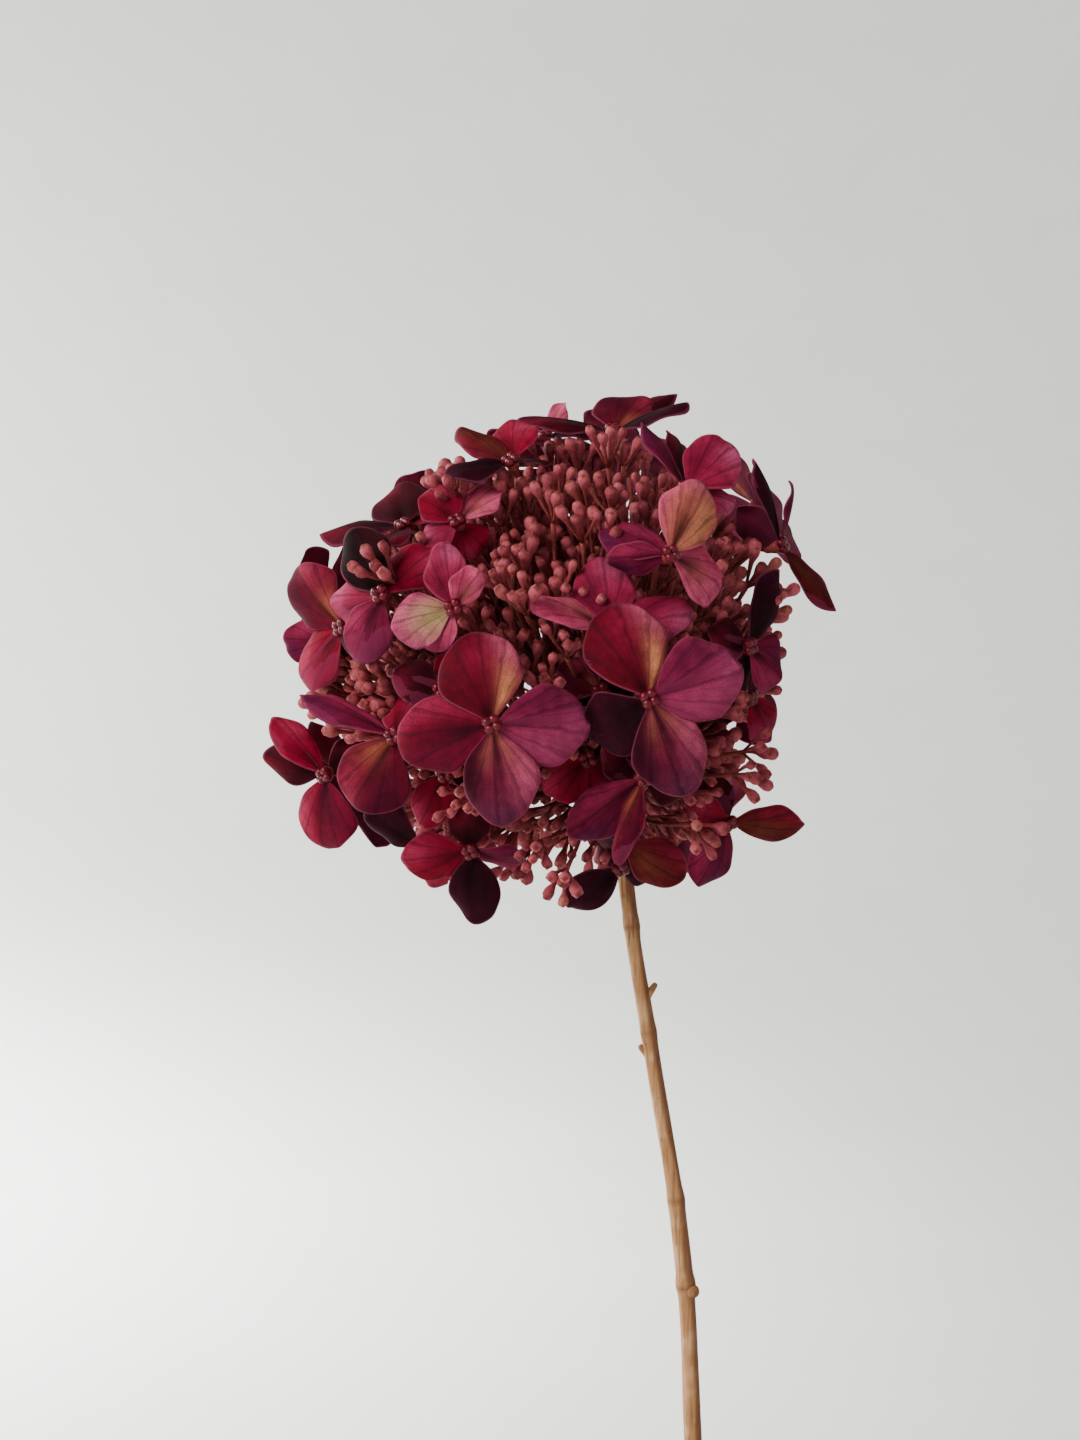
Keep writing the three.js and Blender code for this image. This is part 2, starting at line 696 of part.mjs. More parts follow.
/** One spray: its ray from the hub, the bud clusters it carries and the stalks of its florets. */
function sprayGeometry(spray, clusters, florets, sepals) {
  const direction = sprayDirections[spray];
  const reach = sprayAxes[spray].length();
  const along = (share) => HUB.clone().addScaledVector(direction, reach * share);
  const start = HUB.clone().addScaledVector(direction, KNOB_RADIUS + TOUCH_GAP);
  const fork = along(SPRAYS.fork);
  const pieces = [limb([start, fork], [STALK.ray, STALK.ray], STALK.raySides), knuckle(fork, KNUCKLE.ray)];
  const roots = [fork, ...[0.8, 0.6, 0.4].map((share) => along(SPRAYS.fork * share))];

  for (const cluster of clusters) {
    const root = roots.find((place) => isFree(place, cluster.fork, STALK.limb + STALK_CLEARANCE, sepals));
    if (!root) {
      continue;
    }
    const base = towards(root, cluster.fork, KNUCKLE.ray * KNUCKLE.rootShare);
    pieces.push(limb([base, cluster.fork], [STALK.limb, STALK.limb], STALK.sides));
    pieces.push(knuckle(cluster.fork, KNUCKLE.fork));
    pieces.push(...cluster.tips.map((tip) => budLimb(cluster.fork, tip)));
    roots.push(cluster.fork);
  }

  for (const floret of florets) {
    const end = floret.middle.clone().addScaledVector(floret.normal, -(EYE.length + TOUCH_GAP));
    const behind = end.clone().addScaledVector(floret.normal, -PEDICEL_RUN);
    const bend = keptInside(behind, spray, STALK.pedicel + STALK_CLEARANCE);
    const root = roots.find((place) => isFree(place, bend, STALK.pedicel + STALK_CLEARANCE, sepals)) ?? fork;
    const base = towards(root, bend, KNUCKLE.fork * KNUCKLE.rootShare);
    pieces.push(limb([base, bend, end], [STALK.pedicel, STALK.pedicel, STALK.pedicel], STALK.sides));
  }
  return fuse(pieces);
}

// ---- assembly

function addMesh(group, name, geometry, look) {
  const bare = geometry.index ? geometry : mergeVertices(geometry);
  bare.computeVertexNormals();
  const material = new THREE.MeshStandardMaterial({ ...look, metalness: 0, side: THREE.DoubleSide });
  const mesh = new THREE.Mesh(bare, material);
  mesh.name = name;
  group.add(mesh);
}

const numbered = (stem, index) => `${stem}_${String(index + 1).padStart(2, '0')}`;

function hydrangea() {
  const group = new THREE.Group();
  addMesh(group, 'vase', vaseGeometry(), COLOURS.vase);
  addMesh(group, 'stem', stemGeometry(), COLOURS.stem);

  const florets = [...FRONT_FLORETS.map(frontFloret), ...BACK_FLORETS.map(backFloret)];
  florets.forEach((floret, index) => {
    addMesh(group, numbered('floret', index), floretGeometry(floret), COLOURS.floret);
  });

  const sepals = florets.flatMap((floret) => floret.sepals);
  const clusters = budClusters(sepals);
  sprayDirections.forEach((_, spray) => {
    const own = clusters.filter((cluster) => cluster.spray === spray);
    const carried = florets.filter(({ middle, normal }) => {
      const seat = middle.clone().addScaledVector(normal, -EYE.length);
      return sprayOf(seat) === spray;
    });
    addMesh(group, numbered('spray', spray), sprayGeometry(spray, own, carried, sepals), COLOURS.spray);
  });
  return group;
}

const group = hydrangea();
export default group;
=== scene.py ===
"""A dried lacecap hydrangea head on one woody stem, standing in a plain stoneware vase.

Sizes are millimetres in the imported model's own frame, +Z up with the viewer at -Y, and become metres where
a piece is finished. The driving values are those of the part's construction, so each piece lies where its
solid is.
"""

from __future__ import annotations

import logging
import math
from collections.abc import Callable, Sequence
from dataclasses import dataclass, field
from enum import Enum

import bmesh
import bpy
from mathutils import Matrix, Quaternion, Vector, noise
from mathutils.bvhtree import BVHTree

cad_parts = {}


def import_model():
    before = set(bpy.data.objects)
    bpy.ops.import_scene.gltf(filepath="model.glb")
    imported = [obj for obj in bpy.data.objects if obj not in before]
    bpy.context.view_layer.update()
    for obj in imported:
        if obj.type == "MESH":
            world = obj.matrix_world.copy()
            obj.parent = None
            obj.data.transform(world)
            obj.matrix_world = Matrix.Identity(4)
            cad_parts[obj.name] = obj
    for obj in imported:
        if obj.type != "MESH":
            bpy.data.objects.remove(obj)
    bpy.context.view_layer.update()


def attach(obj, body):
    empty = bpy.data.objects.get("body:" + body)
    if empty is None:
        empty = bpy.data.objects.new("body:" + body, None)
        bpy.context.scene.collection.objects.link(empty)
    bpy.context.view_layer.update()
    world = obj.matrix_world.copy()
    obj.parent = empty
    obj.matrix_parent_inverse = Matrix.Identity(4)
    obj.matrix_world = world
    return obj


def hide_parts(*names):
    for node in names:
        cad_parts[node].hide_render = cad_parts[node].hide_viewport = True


LOG = logging.getLogger("hydrangea")

MM = 0.001
BODY = "root"
GOLDEN_ANGLE = math.pi * (3 - math.sqrt(5))
UP = Vector((0, 0, 1))

# A steep wave whose height at whole numbers looks drawn at random.
WAVE_FIRST, WAVE_SECOND, WAVE_HEIGHT = 127.1, 311.7, 43758.5453

Colour = tuple[float, float, float, float]


# ---- numbers


def linear(code: str) -> Colour:
    """Turns an sRGB hex colour into linear light.

    Args:
        code: The colour, such as "#8A2247".

    Returns:
        Red, green, blue and a full alpha.
    """
    channels = []
    for place in (1, 3, 5):
        part = int(code[place : place + 2], 16) / 255
        channels.append(part / 12.92 if part <= 0.04045 else ((part + 0.055) / 1.055) ** 2.4)
    return (*channels, 1.0)


def blend(first: Colour, second: Colour, share: float) -> Colour:
    """Mixes two colours; a share of 1 is all the second."""
    return tuple(a + (b - a) * share for a, b in zip(first, second))


def smooth(low: float, high: float, value: float) -> float:
    """A soft step from 0 at low to 1 at high."""
    share = min(max((value - low) / (high - low), 0.0), 1.0)
    return share * share * (3 - 2 * share)


def chance(first: int, second: int) -> float:
    """A repeatable number from 0 to 1 for two whole numbers."""
    wave = math.sin(first * WAVE_FIRST + second * WAVE_SECOND) * WAVE_HEIGHT
    return wave - math.floor(wave)


def facing(bearing: float, elevation: float) -> Vector:
    """The unit direction of a bearing from the viewer and an elevation, in degrees."""
    turn, rise = math.radians(bearing), math.radians(elevation)
    return Vector((math.sin(turn) * math.cos(rise), -math.cos(turn) * math.cos(rise), math.sin(rise)))


def even_directions(count: int, lowest: float, turn: float) -> list[Vector]:
    """Spreads unit directions evenly over a ball.

    Args:
        count: How many.
        lowest: The height at which they end, from -1 to 1.
        turn: The first one's turn about the ball's axis, in radians.

    Returns:
        The directions, from the top down.
    """
    found = []
    for index in range(count):
        height = 1 - (index + 0.5) / count * (1 - lowest)
        level = math.sqrt(1 - height * height)
        angle = turn + index * GOLDEN_ANGLE
        found.append(Vector((level * math.cos(angle), level * math.sin(angle), height)))
    return found


def disc_place(x: float, y: float) -> tuple[float, float]:
    """Where a place of the square from -1 to 1 lies on the unit disc."""
    return x * math.sqrt(1 - y * y / 2), y * math.sqrt(1 - x * x / 2)


def spline_point(places: Sequence[Vector], share: float) -> Vector:
    """A place on the smooth curve through some places.

    Args:
        places: What the curve passes through.
        share: From 0 at the first to 1 at the last.

    Returns:
        The place.
    """
    reach = (len(places) - 1) * share
    index = min(int(reach), len(places) - 2)
    part = reach - index
    before, first = places[max(index - 1, 0)], places[index]
    second, after = places[index + 1], places[min(index + 2, len(places) - 1)]
    leave, arrive = (second - before) * 0.5, (after - first) * 0.5
    square, cube = part**2, part**3
    return (
        first * (2 * cube - 3 * square + 1)
        + leave * (cube - 2 * square + part)
        + second * (3 * square - 2 * cube)
        + arrive * (cube - square)
    )


def spline(places: Sequence[Vector], steps: int) -> list[Vector]:
    """The smooth curve through some places, cut into equal steps."""
    return [spline_point(places, step / steps) for step in range(steps + 1)]


# ---- meshes


def rim_edges(ring: Sequence[bmesh.types.BMVert]) -> list[bmesh.types.BMEdge]:
    """The edges that join the corners of a ring, in the ring's order."""
    corners = set(ring)
    edges = [edge for corner in ring for edge in corner.link_edges if edge.other_vert(corner) in corners]
    return list(dict.fromkeys(edges))


def sweep(
    mesh: bmesh.types.BMesh,
    line: Sequence[Vector],
    radii: Sequence[float],
    sides: int,
    shape: Callable[[int, float], float] | None = None,
) -> list[list[bmesh.types.BMVert]]:
    """Extrudes a closed rod along a line.

    Args:
        mesh: Where it is built.
        line: The rod's middle line.
        radii: The rod's radius at each place of the line.
        sides: The number of corners of a ring.
        shape: Scales a corner's radius, from its ring's index and its angle.

    Returns:
        The corners of each ring.
    """
    tangents = []
    for index in range(len(line)):
        before, after = line[max(index - 1, 0)], line[min(index + 1, len(line) - 1)]
        tangents.append((after - before).normalized())
    helper = UP if abs(tangents[0].z) < 0.9 else Vector((1, 0, 0))
    side = helper.cross(tangents[0]).normalized()
    ring = bmesh.ops.create_circle(mesh, cap_ends=True, segments=sides, radius=1.0)["verts"]
    rings = []
    for index, place in enumerate(line):
        if index > 0:
            side = (tangents[index - 1].rotation_difference(tangents[index]) @ side).normalized()
            grown = bmesh.ops.extrude_edge_only(mesh, edges=rim_edges(ring))["geom"]
            fresh = {item for item in grown if isinstance(item, bmesh.types.BMVert)}
            ring = [
                next(twin for edge in corner.link_edges if (twin := edge.other_vert(corner)) in fresh)
                for corner in ring
            ]
        other = tangents[index].cross(side)
        for corner, vertex in enumerate(ring):
            angle = corner / sides * math.tau
            radius = radii[index] * (shape(index, angle) if shape else 1.0)
            vertex.co = place + side * (math.cos(angle) * radius) + other * (math.sin(angle) * radius)
        rings.append(ring)
    bmesh.ops.contextual_create(mesh, geom=rim_edges(ring))
    return rings


def lathe(mesh: bmesh.types.BMesh, outline: Sequence[tuple[float, float]], steps: int) -> None:
    """Spins an outline about +Z into a skin, which is closed where the outline comes back to the axis.

    Args:
        mesh: Where it is built.
        outline: Places as (radius, height), from the axis outwards.
        steps: How many turns the circle is cut into.
    """
    corners = [mesh.verts.new((radius, 0, height)) for radius, height in outline]
    edges = [mesh.edges.new(pair) for pair in zip(corners, corners[1:])]
    bmesh.ops.spin(
        mesh,
        geom=corners + edges,
        cent=(0, 0, 0),
        axis=(0, 0, 1),
        angle=math.tau,
        steps=steps,
        use_merge=True,
        use_duplicate=False,
    )
    bmesh.ops.remove_doubles(mesh, verts=mesh.verts[:], dist=1e-4)
    bmesh.ops.recalc_face_normals(mesh, faces=mesh.faces[:])


def merge(mesh: bmesh.types.BMesh, part: bmesh.types.BMesh) -> None:
    """Adds a small mesh to a large one.

    Args:
        mesh: The large one.
        part: The small one, which is freed.
    """
    data = bpy.data.meshes.new("part")
    part.to_mesh(data)
    part.free()
    mesh.from_mesh(data)
    bpy.data.meshes.remove(data)


def stalk_mesh() -> bmesh.types.BMesh:
    """An empty mesh with the attributes of stalks and buds."""
    mesh = bmesh.new()
    for name in ("ripe", "tone"):
        mesh.verts.layers.float.new(name)
    return mesh


def finished(mesh: bmesh.types.BMesh, name: str, materials: Sequence[bpy.types.Material]) -> bpy.types.Object:
    """Makes a smooth-shaded object, in metres, of a mesh in millimetres.

    Args:
        mesh: The mesh, which is freed.
        name: The object's name.
        materials: What its faces' material indices point to.

    Returns:
        The object, at the origin.
    """
    bmesh.ops.scale(mesh, vec=(MM, MM, MM), verts=mesh.verts[:])
    for face in mesh.faces:
        face.smooth = True
    data = bpy.data.meshes.new(name)
    mesh.to_mesh(data)
    mesh.free()
    for material in materials:
        data.materials.append(material)
    piece = bpy.data.objects.new(name, data)
    bpy.context.scene.collection.objects.link(piece)
    return piece


def fit(piece: bpy.types.Object, node: str) -> None:
    """Lets a piece stand for a solid of the frame.

    Args:
        piece: The piece.
        node: The solid that it replaces.
    """
    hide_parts(node)
    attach(piece, BODY)
    LOG.info("%s: %d faces", piece.name, len(piece.data.polygons))


# ---- finishes

MIX_SHARE, MIX_FIRST, MIX_SECOND, MIX_RESULT = 0, 6, 7, 2
MM_PER_CM = 10

# Where most of a noise texture's values lie.
NOISE_SPAN = (0.3, 0.7)


def per_metre(size_mm: float) -> float:
    """A texture's scale for grains of a size, where its place is in metres."""
    return 1 / (size_mm * MM)


def add_node(
    tree: bpy.types.NodeTree,
    kind: str,
    inputs: dict[str | int, object] | None = None,
    **settings: object,
) -> bpy.types.Node:
    """Adds a shader node.

    Args:
        tree: The node tree.
        kind: The node's type.
        inputs: For each socket's name or number, the output that feeds it or its fixed value.
        settings: The node's own settings.

    Returns:
        The node.
    """
    node = tree.nodes.new(kind)
    for name, value in settings.items():
        setattr(node, name, value)
    for socket, value in (inputs or {}).items():
        if isinstance(value, bpy.types.NodeSocket):
            tree.links.new(value, node.inputs[socket])
        else:
            node.inputs[socket].default_value = value
    return node


@dataclass(frozen=True)
class Shading:
    """A material's nodes and its surface shader, with the few steps that every pattern is made of."""

    tree: bpy.types.NodeTree
    shader: bpy.types.Node

    def feed(self, socket: str, output: bpy.types.NodeSocket) -> None:
        """Links an output to an input of the surface shader."""
        self.tree.links.new(output, self.shader.inputs[socket])

    def place(self) -> bpy.types.NodeSocket:
        """The place on the object, in metres."""
        return add_node(self.tree, "ShaderNodeTexCoord").outputs["Object"]

    def attribute(self, name: str, output: str = "Fac") -> bpy.types.NodeSocket:
        """An attribute of the mesh."""
        return add_node(self.tree, "ShaderNodeAttribute", attribute_name=name).outputs[output]

    def noise(self, place: bpy.types.NodeSocket, scale: float, detail: float = 2.0) -> bpy.types.NodeSocket:
        """Soft noise, from 0 to 1 round a half."""
        inputs = {"Vector": place, "Scale": scale, "Detail": detail}
        return add_node(self.tree, "ShaderNodeTexNoise", inputs).outputs["Fac"]

    def scatter(self, place: bpy.types.NodeSocket, size_mm: float) -> bpy.types.NodeSocket:
        """The distance to the nearest of many scattered points, as a share of the space between them."""
        inputs = {"Vector": place, "Scale": per_metre(size_mm)}
        return add_node(self.tree, "ShaderNodeTexVoronoi", inputs).outputs["Distance"]

    def compute(self, operation: str, *values: bpy.types.NodeSocket | float) -> bpy.types.NodeSocket:
        """One step of arithmetic on outputs and fixed values."""
        return add_node(self.tree, "ShaderNodeMath", dict(enumerate(values)), operation=operation).outputs[0]

    def remap(
        self,
        value: bpy.types.NodeSocket,
        source: tuple[float, float],
        target: tuple[float, float] = (0.0, 1.0),
        curve: str = "LINEAR",
    ) -> bpy.types.NodeSocket:
        """Turns a span of a pattern into another span, and holds it inside.

        Args:
            value: The pattern.
            source: Its values at the two ends of the span.
            target: What they become.
            curve: How it goes from one end to the other.

        Returns:
            The new pattern.
        """
        inputs = dict(enumerate((value, *source, *target)))
        return add_node(self.tree, "ShaderNodeMapRange", inputs, interpolation_type=curve).outputs[0]

    def scaled(self, colour: bpy.types.NodeSocket, factor: bpy.types.NodeSocket) -> bpy.types.NodeSocket:
        """A colour made lighter or darker."""
        inputs = {0: colour, "Scale": factor}
        return add_node(self.tree, "ShaderNodeVectorMath", inputs, operation="SCALE").outputs["Vector"]

    def overlay(
        self, share: bpy.types.NodeSocket, below: bpy.types.NodeSocket | Colour, code: str
    ) -> bpy.types.NodeSocket:
        """Lays a colour over another.

        Args:
            share: How much of it shows, from 0 to 1.
            below: The colour under it.
            code: The colour laid over, as an sRGB hex colour.

        Returns:
            The mixed colour.
        """
        inputs = {MIX_SHARE: share, MIX_FIRST: below, MIX_SECOND: linear(code)}
        return add_node(self.tree, "ShaderNodeMix", inputs, data_type="RGBA").outputs[MIX_RESULT]

    def emboss(self, height: bpy.types.NodeSocket, strength: float, depth_mm: float) -> None:
        """Gives the surface a fine relief that follows a pattern."""
        inputs = {"Height": height, "Strength": strength, "Distance": depth_mm * MM}
        self.feed("Normal", add_node(self.tree, "ShaderNodeBump", inputs).outputs["Normal"])


@dataclass(frozen=True)
class Finish:
    """What a surface is made of. Each kind draws its own pattern in dress."""

    name: str
    roughness: float
    specular: float = 0.5

    def material(self) -> bpy.types.Material:
        """Makes the material."""
        made = bpy.data.materials.new(self.name)
        made.use_nodes = True
        tree = made.node_tree
        tree.nodes.clear()
        inputs = {"Roughness": self.roughness, "Specular IOR Level": self.specular}
        shader = add_node(tree, "ShaderNodeBsdfPrincipled", inputs)
        add_node(tree, "ShaderNodeOutputMaterial", {"Surface": shader.outputs["BSDF"]})
        self.dress(Shading(tree, shader))
        return made

    def dress(self, shading: Shading) -> None:
        """Adds the pattern, colour and relief to the material's nodes."""
        raise NotImplementedError


@dataclass(frozen=True)
class DyedSepal(Finish):
    """Sepal tissue, or the printed cloth that copies it: matt, with a short velvety nap.

    The dye comes from the piece's own attribute. Veins fan out from the root of each sepal in its own UV map,
    which is in centimetres. The dye took unevenly, thread by thread and in patches, and the raw rim is paler
    for about the width of a thread.
    """

    # Main and fine veins: how many to a radian, how dark, and how far from the root they start, in cm.
    veins: tuple[tuple[float, float, float], ...] = ((21.0, 0.36, 0.0), (59.0, 0.2, 0.5))
    vein: str = "#1E0512"
    vein_fade_cm: float = 0.35
    vein_sway: float = 0.13
    vein_groove: float = -0.8
    rim: str = "#A04A66"
    rim_mm: float = 0.5
    rim_share: float = 0.22
    underside: str = "#6E2440"
    underside_share: float = 0.35
    nap_mm: float = 0.35
    nap_light: tuple[float, float] = (0.74, 1.2)
    mottle_mm: float = 3.2
    mottle_light: tuple[float, float] = (0.72, 1.2)
    sheen: str = "#D07890"
    relief: tuple[float, float] = (0.35, 0.15)

    def dress(self, shading: Shading) -> None:
        """Adds the dye, veins, pale rim and nap.

        Args:
            shading: The material's nodes.
        """
        flat = add_node(shading.tree, "ShaderNodeUVMap", uv_map="flat").outputs["UV"]
        seed = shading.attribute("seed")
        mottle = add_node(
            shading.tree,
            "ShaderNodeTexNoise",
            {"Vector": flat, "W": seed, "Scale": MM_PER_CM / self.mottle_mm, "Detail": 4.0},
            noise_dimensions="4D",
        ).outputs["Fac"]
        nap = shading.noise(flat, MM_PER_CM / self.nap_mm)
        lines = self.draw_veins(shading, flat, mottle)
        colour = shading.attribute("dye", "Color")
        for line in lines:
            colour = shading.overlay(line, colour, self.vein)
        patches = shading.remap(mottle, NOISE_SPAN, self.mottle_light)
        threads = shading.remap(nap, NOISE_SPAN, self.nap_light)
        colour = shading.scaled(colour, shading.compute("MULTIPLY", patches, threads))
        under = shading.compute("MULTIPLY", shading.attribute("under"), self.underside_share)
        colour = shading.overlay(under, colour, self.underside)
        edge = shading.attribute("edge")
        rim = shading.remap(edge, (0.0, self.rim_mm), (self.rim_share, 0.0), "SMOOTHSTEP")
        shading.feed("Base Color", shading.overlay(rim, colour, self.rim))
        shading.shader.inputs["Sheen Weight"].default_value = 0.02
        shading.shader.inputs["Sheen Roughness"].default_value = 0.4
        shading.shader.inputs["Sheen Tint"].default_value = linear(self.sheen)
        shading.emboss(shading.compute("MULTIPLY_ADD", lines[0], self.vein_groove, nap), *self.relief)

    def draw_veins(
        self, shading: Shading, flat: bpy.types.NodeSocket, mottle: bpy.types.NodeSocket
    ) -> list[bpy.types.NodeSocket]:
        """Draws the veins as rays from the sepal's root.

        Args:
            shading: The material's nodes.
            flat: The place on the sepal, in centimetres from its root.
            mottle: The noise that makes them sway.

        Returns:
            How dark the main veins and the fine veins are.
        """
        axes = add_node(shading.tree, "ShaderNodeSeparateXYZ", {0: flat}).outputs
        reach = add_node(shading.tree, "ShaderNodeVectorMath", {0: flat}, operation="LENGTH").outputs["Value"]
        angle = shading.compute("ARCTAN2", axes["X"], axes["Y"])
        swayed = shading.compute("MULTIPLY_ADD", mottle, self.vein_sway, angle)
        lines = []
        for count, depth, start in self.veins:
            wave = shading.compute("COSINE", shading.compute("MULTIPLY", swayed, count))
            line = shading.remap(wave, (0.6, 1.0), (0.0, depth), "SMOOTHSTEP")
            shown = shading.remap(reach, (start, start + self.vein_fade_cm), curve="SMOOTHSTEP")
            lines.append(shading.compute("MULTIPLY", line, shown))
        return lines


@dataclass(frozen=True)
class BudSkin(Finish):
    """Closed buds on their stalks: a dusty skin, dark brown where the stalk is old and pink at the bud.

    The attribute ripe runs from 0 at the hub to 1 at a bud, and tone sets one bud apart from the next.
    """

    bark: str = "#3A1310"
    twig: str = "#5E2420"
    stalk: str = "#7A302E"
    bud: str = "#98424A"
    shadow: str = "#561218"
    straw: str = "#88493C"
    grain_mm: float = 0.9
    grain_light: tuple[float, float] = (0.75, 1.25)
    relief: tuple[float, float] = (0.6, 0.25)

    def dress(self, shading: Shading) -> None:
        """Adds the change from bark to bud, the differences between buds and a fine grain.

        Args:
            shading: The material's nodes.
        """
        ripe, tone = shading.attribute("ripe"), shading.attribute("tone")
        colour = linear(self.bark)
        for code, low, high in ((self.twig, 0.0, 0.3), (self.stalk, 0.25, 0.6), (self.bud, 0.6, 0.95)):
            colour = shading.overlay(shading.remap(ripe, (low, high)), colour, code)
        for code, low, high, most in ((self.shadow, 0.55, 0.0, 0.75), (self.straw, 0.93, 0.98, 0.7)):
            colour = shading.overlay(shading.remap(tone, (low, high), (0.0, most)), colour, code)
        grain = shading.noise(shading.place(), per_metre(self.grain_mm), 3.0)
        shading.feed("Base Color", shading.scaled(colour, shading.remap(grain, NOISE_SPAN, self.grain_light)))
        shading.emboss(grain, *self.relief)


@dataclass(frozen=True)
class BeadLacquer(Finish):
    """The four beads of a floret's eye: dark red, smooth and a little glossy, each with a small highlight."""

    bead: str = "#64061A"
    deep: str = "#3A040E"
    patch_mm: float = 1.2

    def dress(self, shading: Shading) -> None:
        """Adds a slow change between two reds."""
        patches = shading.noise(shading.place(), per_metre(self.patch_mm))
        shading.feed("Base Color", shading.overlay(patches, linear(self.bead), self.deep))


@dataclass(frozen=True)
class StemBark(Finish):
    """Dry tan bark: matt, with fine lengthwise ribs, darker where the ribs sink, small dark specks and one
    dark band of painted shade down one side.
    """

    pale: str = "#BE966C"
    tan: str = "#966A42"
    brown: str = "#603820"
    speck: str = "#45251A"
    rib_mm: float = 0.7
    rib_run_mm: float = 14.0
    patch_mm: float = 9.0
    speck_mm: float = 3.5
    relief: tuple[float, float] = (0.6, 0.35)

    def dress(self, shading: Shading) -> None:
        """Adds ribs, patches, specks, the band of painted shade and the darker scars.

        Args:
            shading: The material's nodes.
        """
        place = shading.place()
        across, along = per_metre(self.rib_mm), per_metre(self.rib_run_mm)
        inputs = {"Vector": place, "Scale": (across, across, along)}
        drawn = add_node(shading.tree, "ShaderNodeMapping", inputs).outputs["Vector"]
        ribs = shading.noise(drawn, 1.0, 4.0)
        # Each pattern, its values where its colour starts and is fullest, how full that is, and the colour.
        layers = (
            (shading.noise(place, per_metre(self.patch_mm), 3.0), 0.5, 0.72, 0.7, self.pale),
            (ribs, 0.5, 0.3, 0.75, self.brown),
            (shading.scatter(place, self.speck_mm), 0.16, 0.08, 0.35, self.speck),
            # The band is painted shade on the side of the stem away from the key lamp.
            (shading.attribute("shade_band"), 0.15, 1.0, 0.8, self.brown),
            (shading.attribute("scar"), 0.2, 1.0, 0.6, self.brown),
        )
        colour = linear(self.tan)
        for pattern, low, high, most, code in layers:
            colour = shading.overlay(shading.remap(pattern, (low, high), (0.0, most)), colour, code)
        shading.feed("Base Color", colour)
        shading.emboss(ribs, *self.relief)


@dataclass(frozen=True)
class StonewareGlaze(Finish):
    """Satin oatmeal glaze over speckled stoneware, thrown on a wheel.

    The eye sees shallow rings, iron specks that bleed through the glaze, a warmer line where it runs thin on
    the lip, and bare matt clay at the foot.
    """

    glaze: str = "#D3CABA"
    shade: str = "#BDB2A0"
    iron: str = "#7A6650"
    clay: str = "#B99F84"
    clay_roughness: float = 0.9
    ring_mm: float = 4.0
    ring_sway: float = 9.0
    speck_mm: float = 2.6
    speck_share: float = 0.75
    patch_mm: float = 30.0
    foot_mm: float = 3.5
    foot_fade_mm: float = 0.6
    lip_mm: float = 163.6
    lip_fade_mm: float = 1.4
    lip_share: float = 0.6
    relief: tuple[float, float] = (0.35, 0.25)

    def dress(self, shading: Shading) -> None:
        """Adds rings, specks, the thin lip and the bare foot.

        Args:
            shading: The material's nodes.
        """
        place = shading.place()
        height = add_node(shading.tree, "ShaderNodeSeparateXYZ", {0: place}).outputs["Z"]
        patches = shading.noise(place, per_metre(self.patch_mm), 4.0)
        size = shading.remap(shading.noise(place, per_metre(self.speck_mm * 3)), (0.5, 0.75), (0.02, 0.2))
        inside = shading.compute("LESS_THAN", shading.scatter(place, self.speck_mm), size)
        iron = shading.compute("MULTIPLY", inside, self.speck_share)
        foot = shading.remap(height, (self.foot_mm * MM, (self.foot_mm - self.foot_fade_mm) * MM))
        lip_span = (self.lip_mm * MM, (self.lip_mm + self.lip_fade_mm) * MM)
        lip = shading.remap(height, lip_span, (0.0, self.lip_share))
        colour = linear(self.glaze)
        for share, code in ((patches, self.shade), (iron, self.iron), (lip, self.clay), (foot, self.clay)):
            colour = shading.overlay(share, colour, code)
        shading.feed("Base Color", colour)
        shading.feed("Roughness", shading.remap(foot, (0.0, 1.0), (self.roughness, self.clay_roughness)))
        turned = shading.compute("MULTIPLY", height, math.tau / (self.ring_mm * MM))
        swayed = shading.compute("MULTIPLY_ADD", patches, self.ring_sway, turned)
        shading.emboss(shading.compute("SINE", swayed), *self.relief)


@dataclass(frozen=True)
class StudioPaint(Finish):
    """Flat pale paint on the studio's floor and wall, with the slight unevenness of a roller."""

    paint: str = "#DEDEDB"
    worn: str = "#D6D6D3"
    patch_mm: float = 160.0

    def dress(self, shading: Shading) -> None:
        """Adds broad, faint patches."""
        patches = shading.noise(shading.place(), per_metre(self.patch_mm), 4.0)
        shading.feed("Base Color", shading.overlay(patches, linear(self.paint), self.worn))


# ---- dyes


@dataclass(frozen=True)
class Dab:
    """A soft patch of dye.

    side runs from -1 to 1 across a sepal, and share from 0 at its root to 1 at its tip.
    """

    colour: str
    side: float
    share: float
    side_reach: float
    share_reach: float
    strength: float = 1.0

    def weight(self, side: float, share: float) -> float:
        """How much of the dab shows at a place."""
        across, along = (side - self.side) / self.side_reach, (share - self.share) / self.share_reach
        return self.strength * math.exp(-(across * across + along * along))


@dataclass(frozen=True)
class Recipe:
    """The dyes of one sepal: its ground colour and the dabs laid over it, in order."""

    ground: str
    dabs: tuple[Dab, ...]

    def colour(self, side: float, share: float) -> Colour:
        """The dye at a place of the sepal.

        Args:
            side: The place across it, from -1 to 1.
            share: The place along it, from 0 at its root to 1 at its tip.

        Returns:
            The colour, in linear light.
        """
        mixed = linear(self.ground)
        for dab in self.dabs:
            mixed = blend(mixed, linear(dab.colour), dab.weight(side, share))
        return mixed


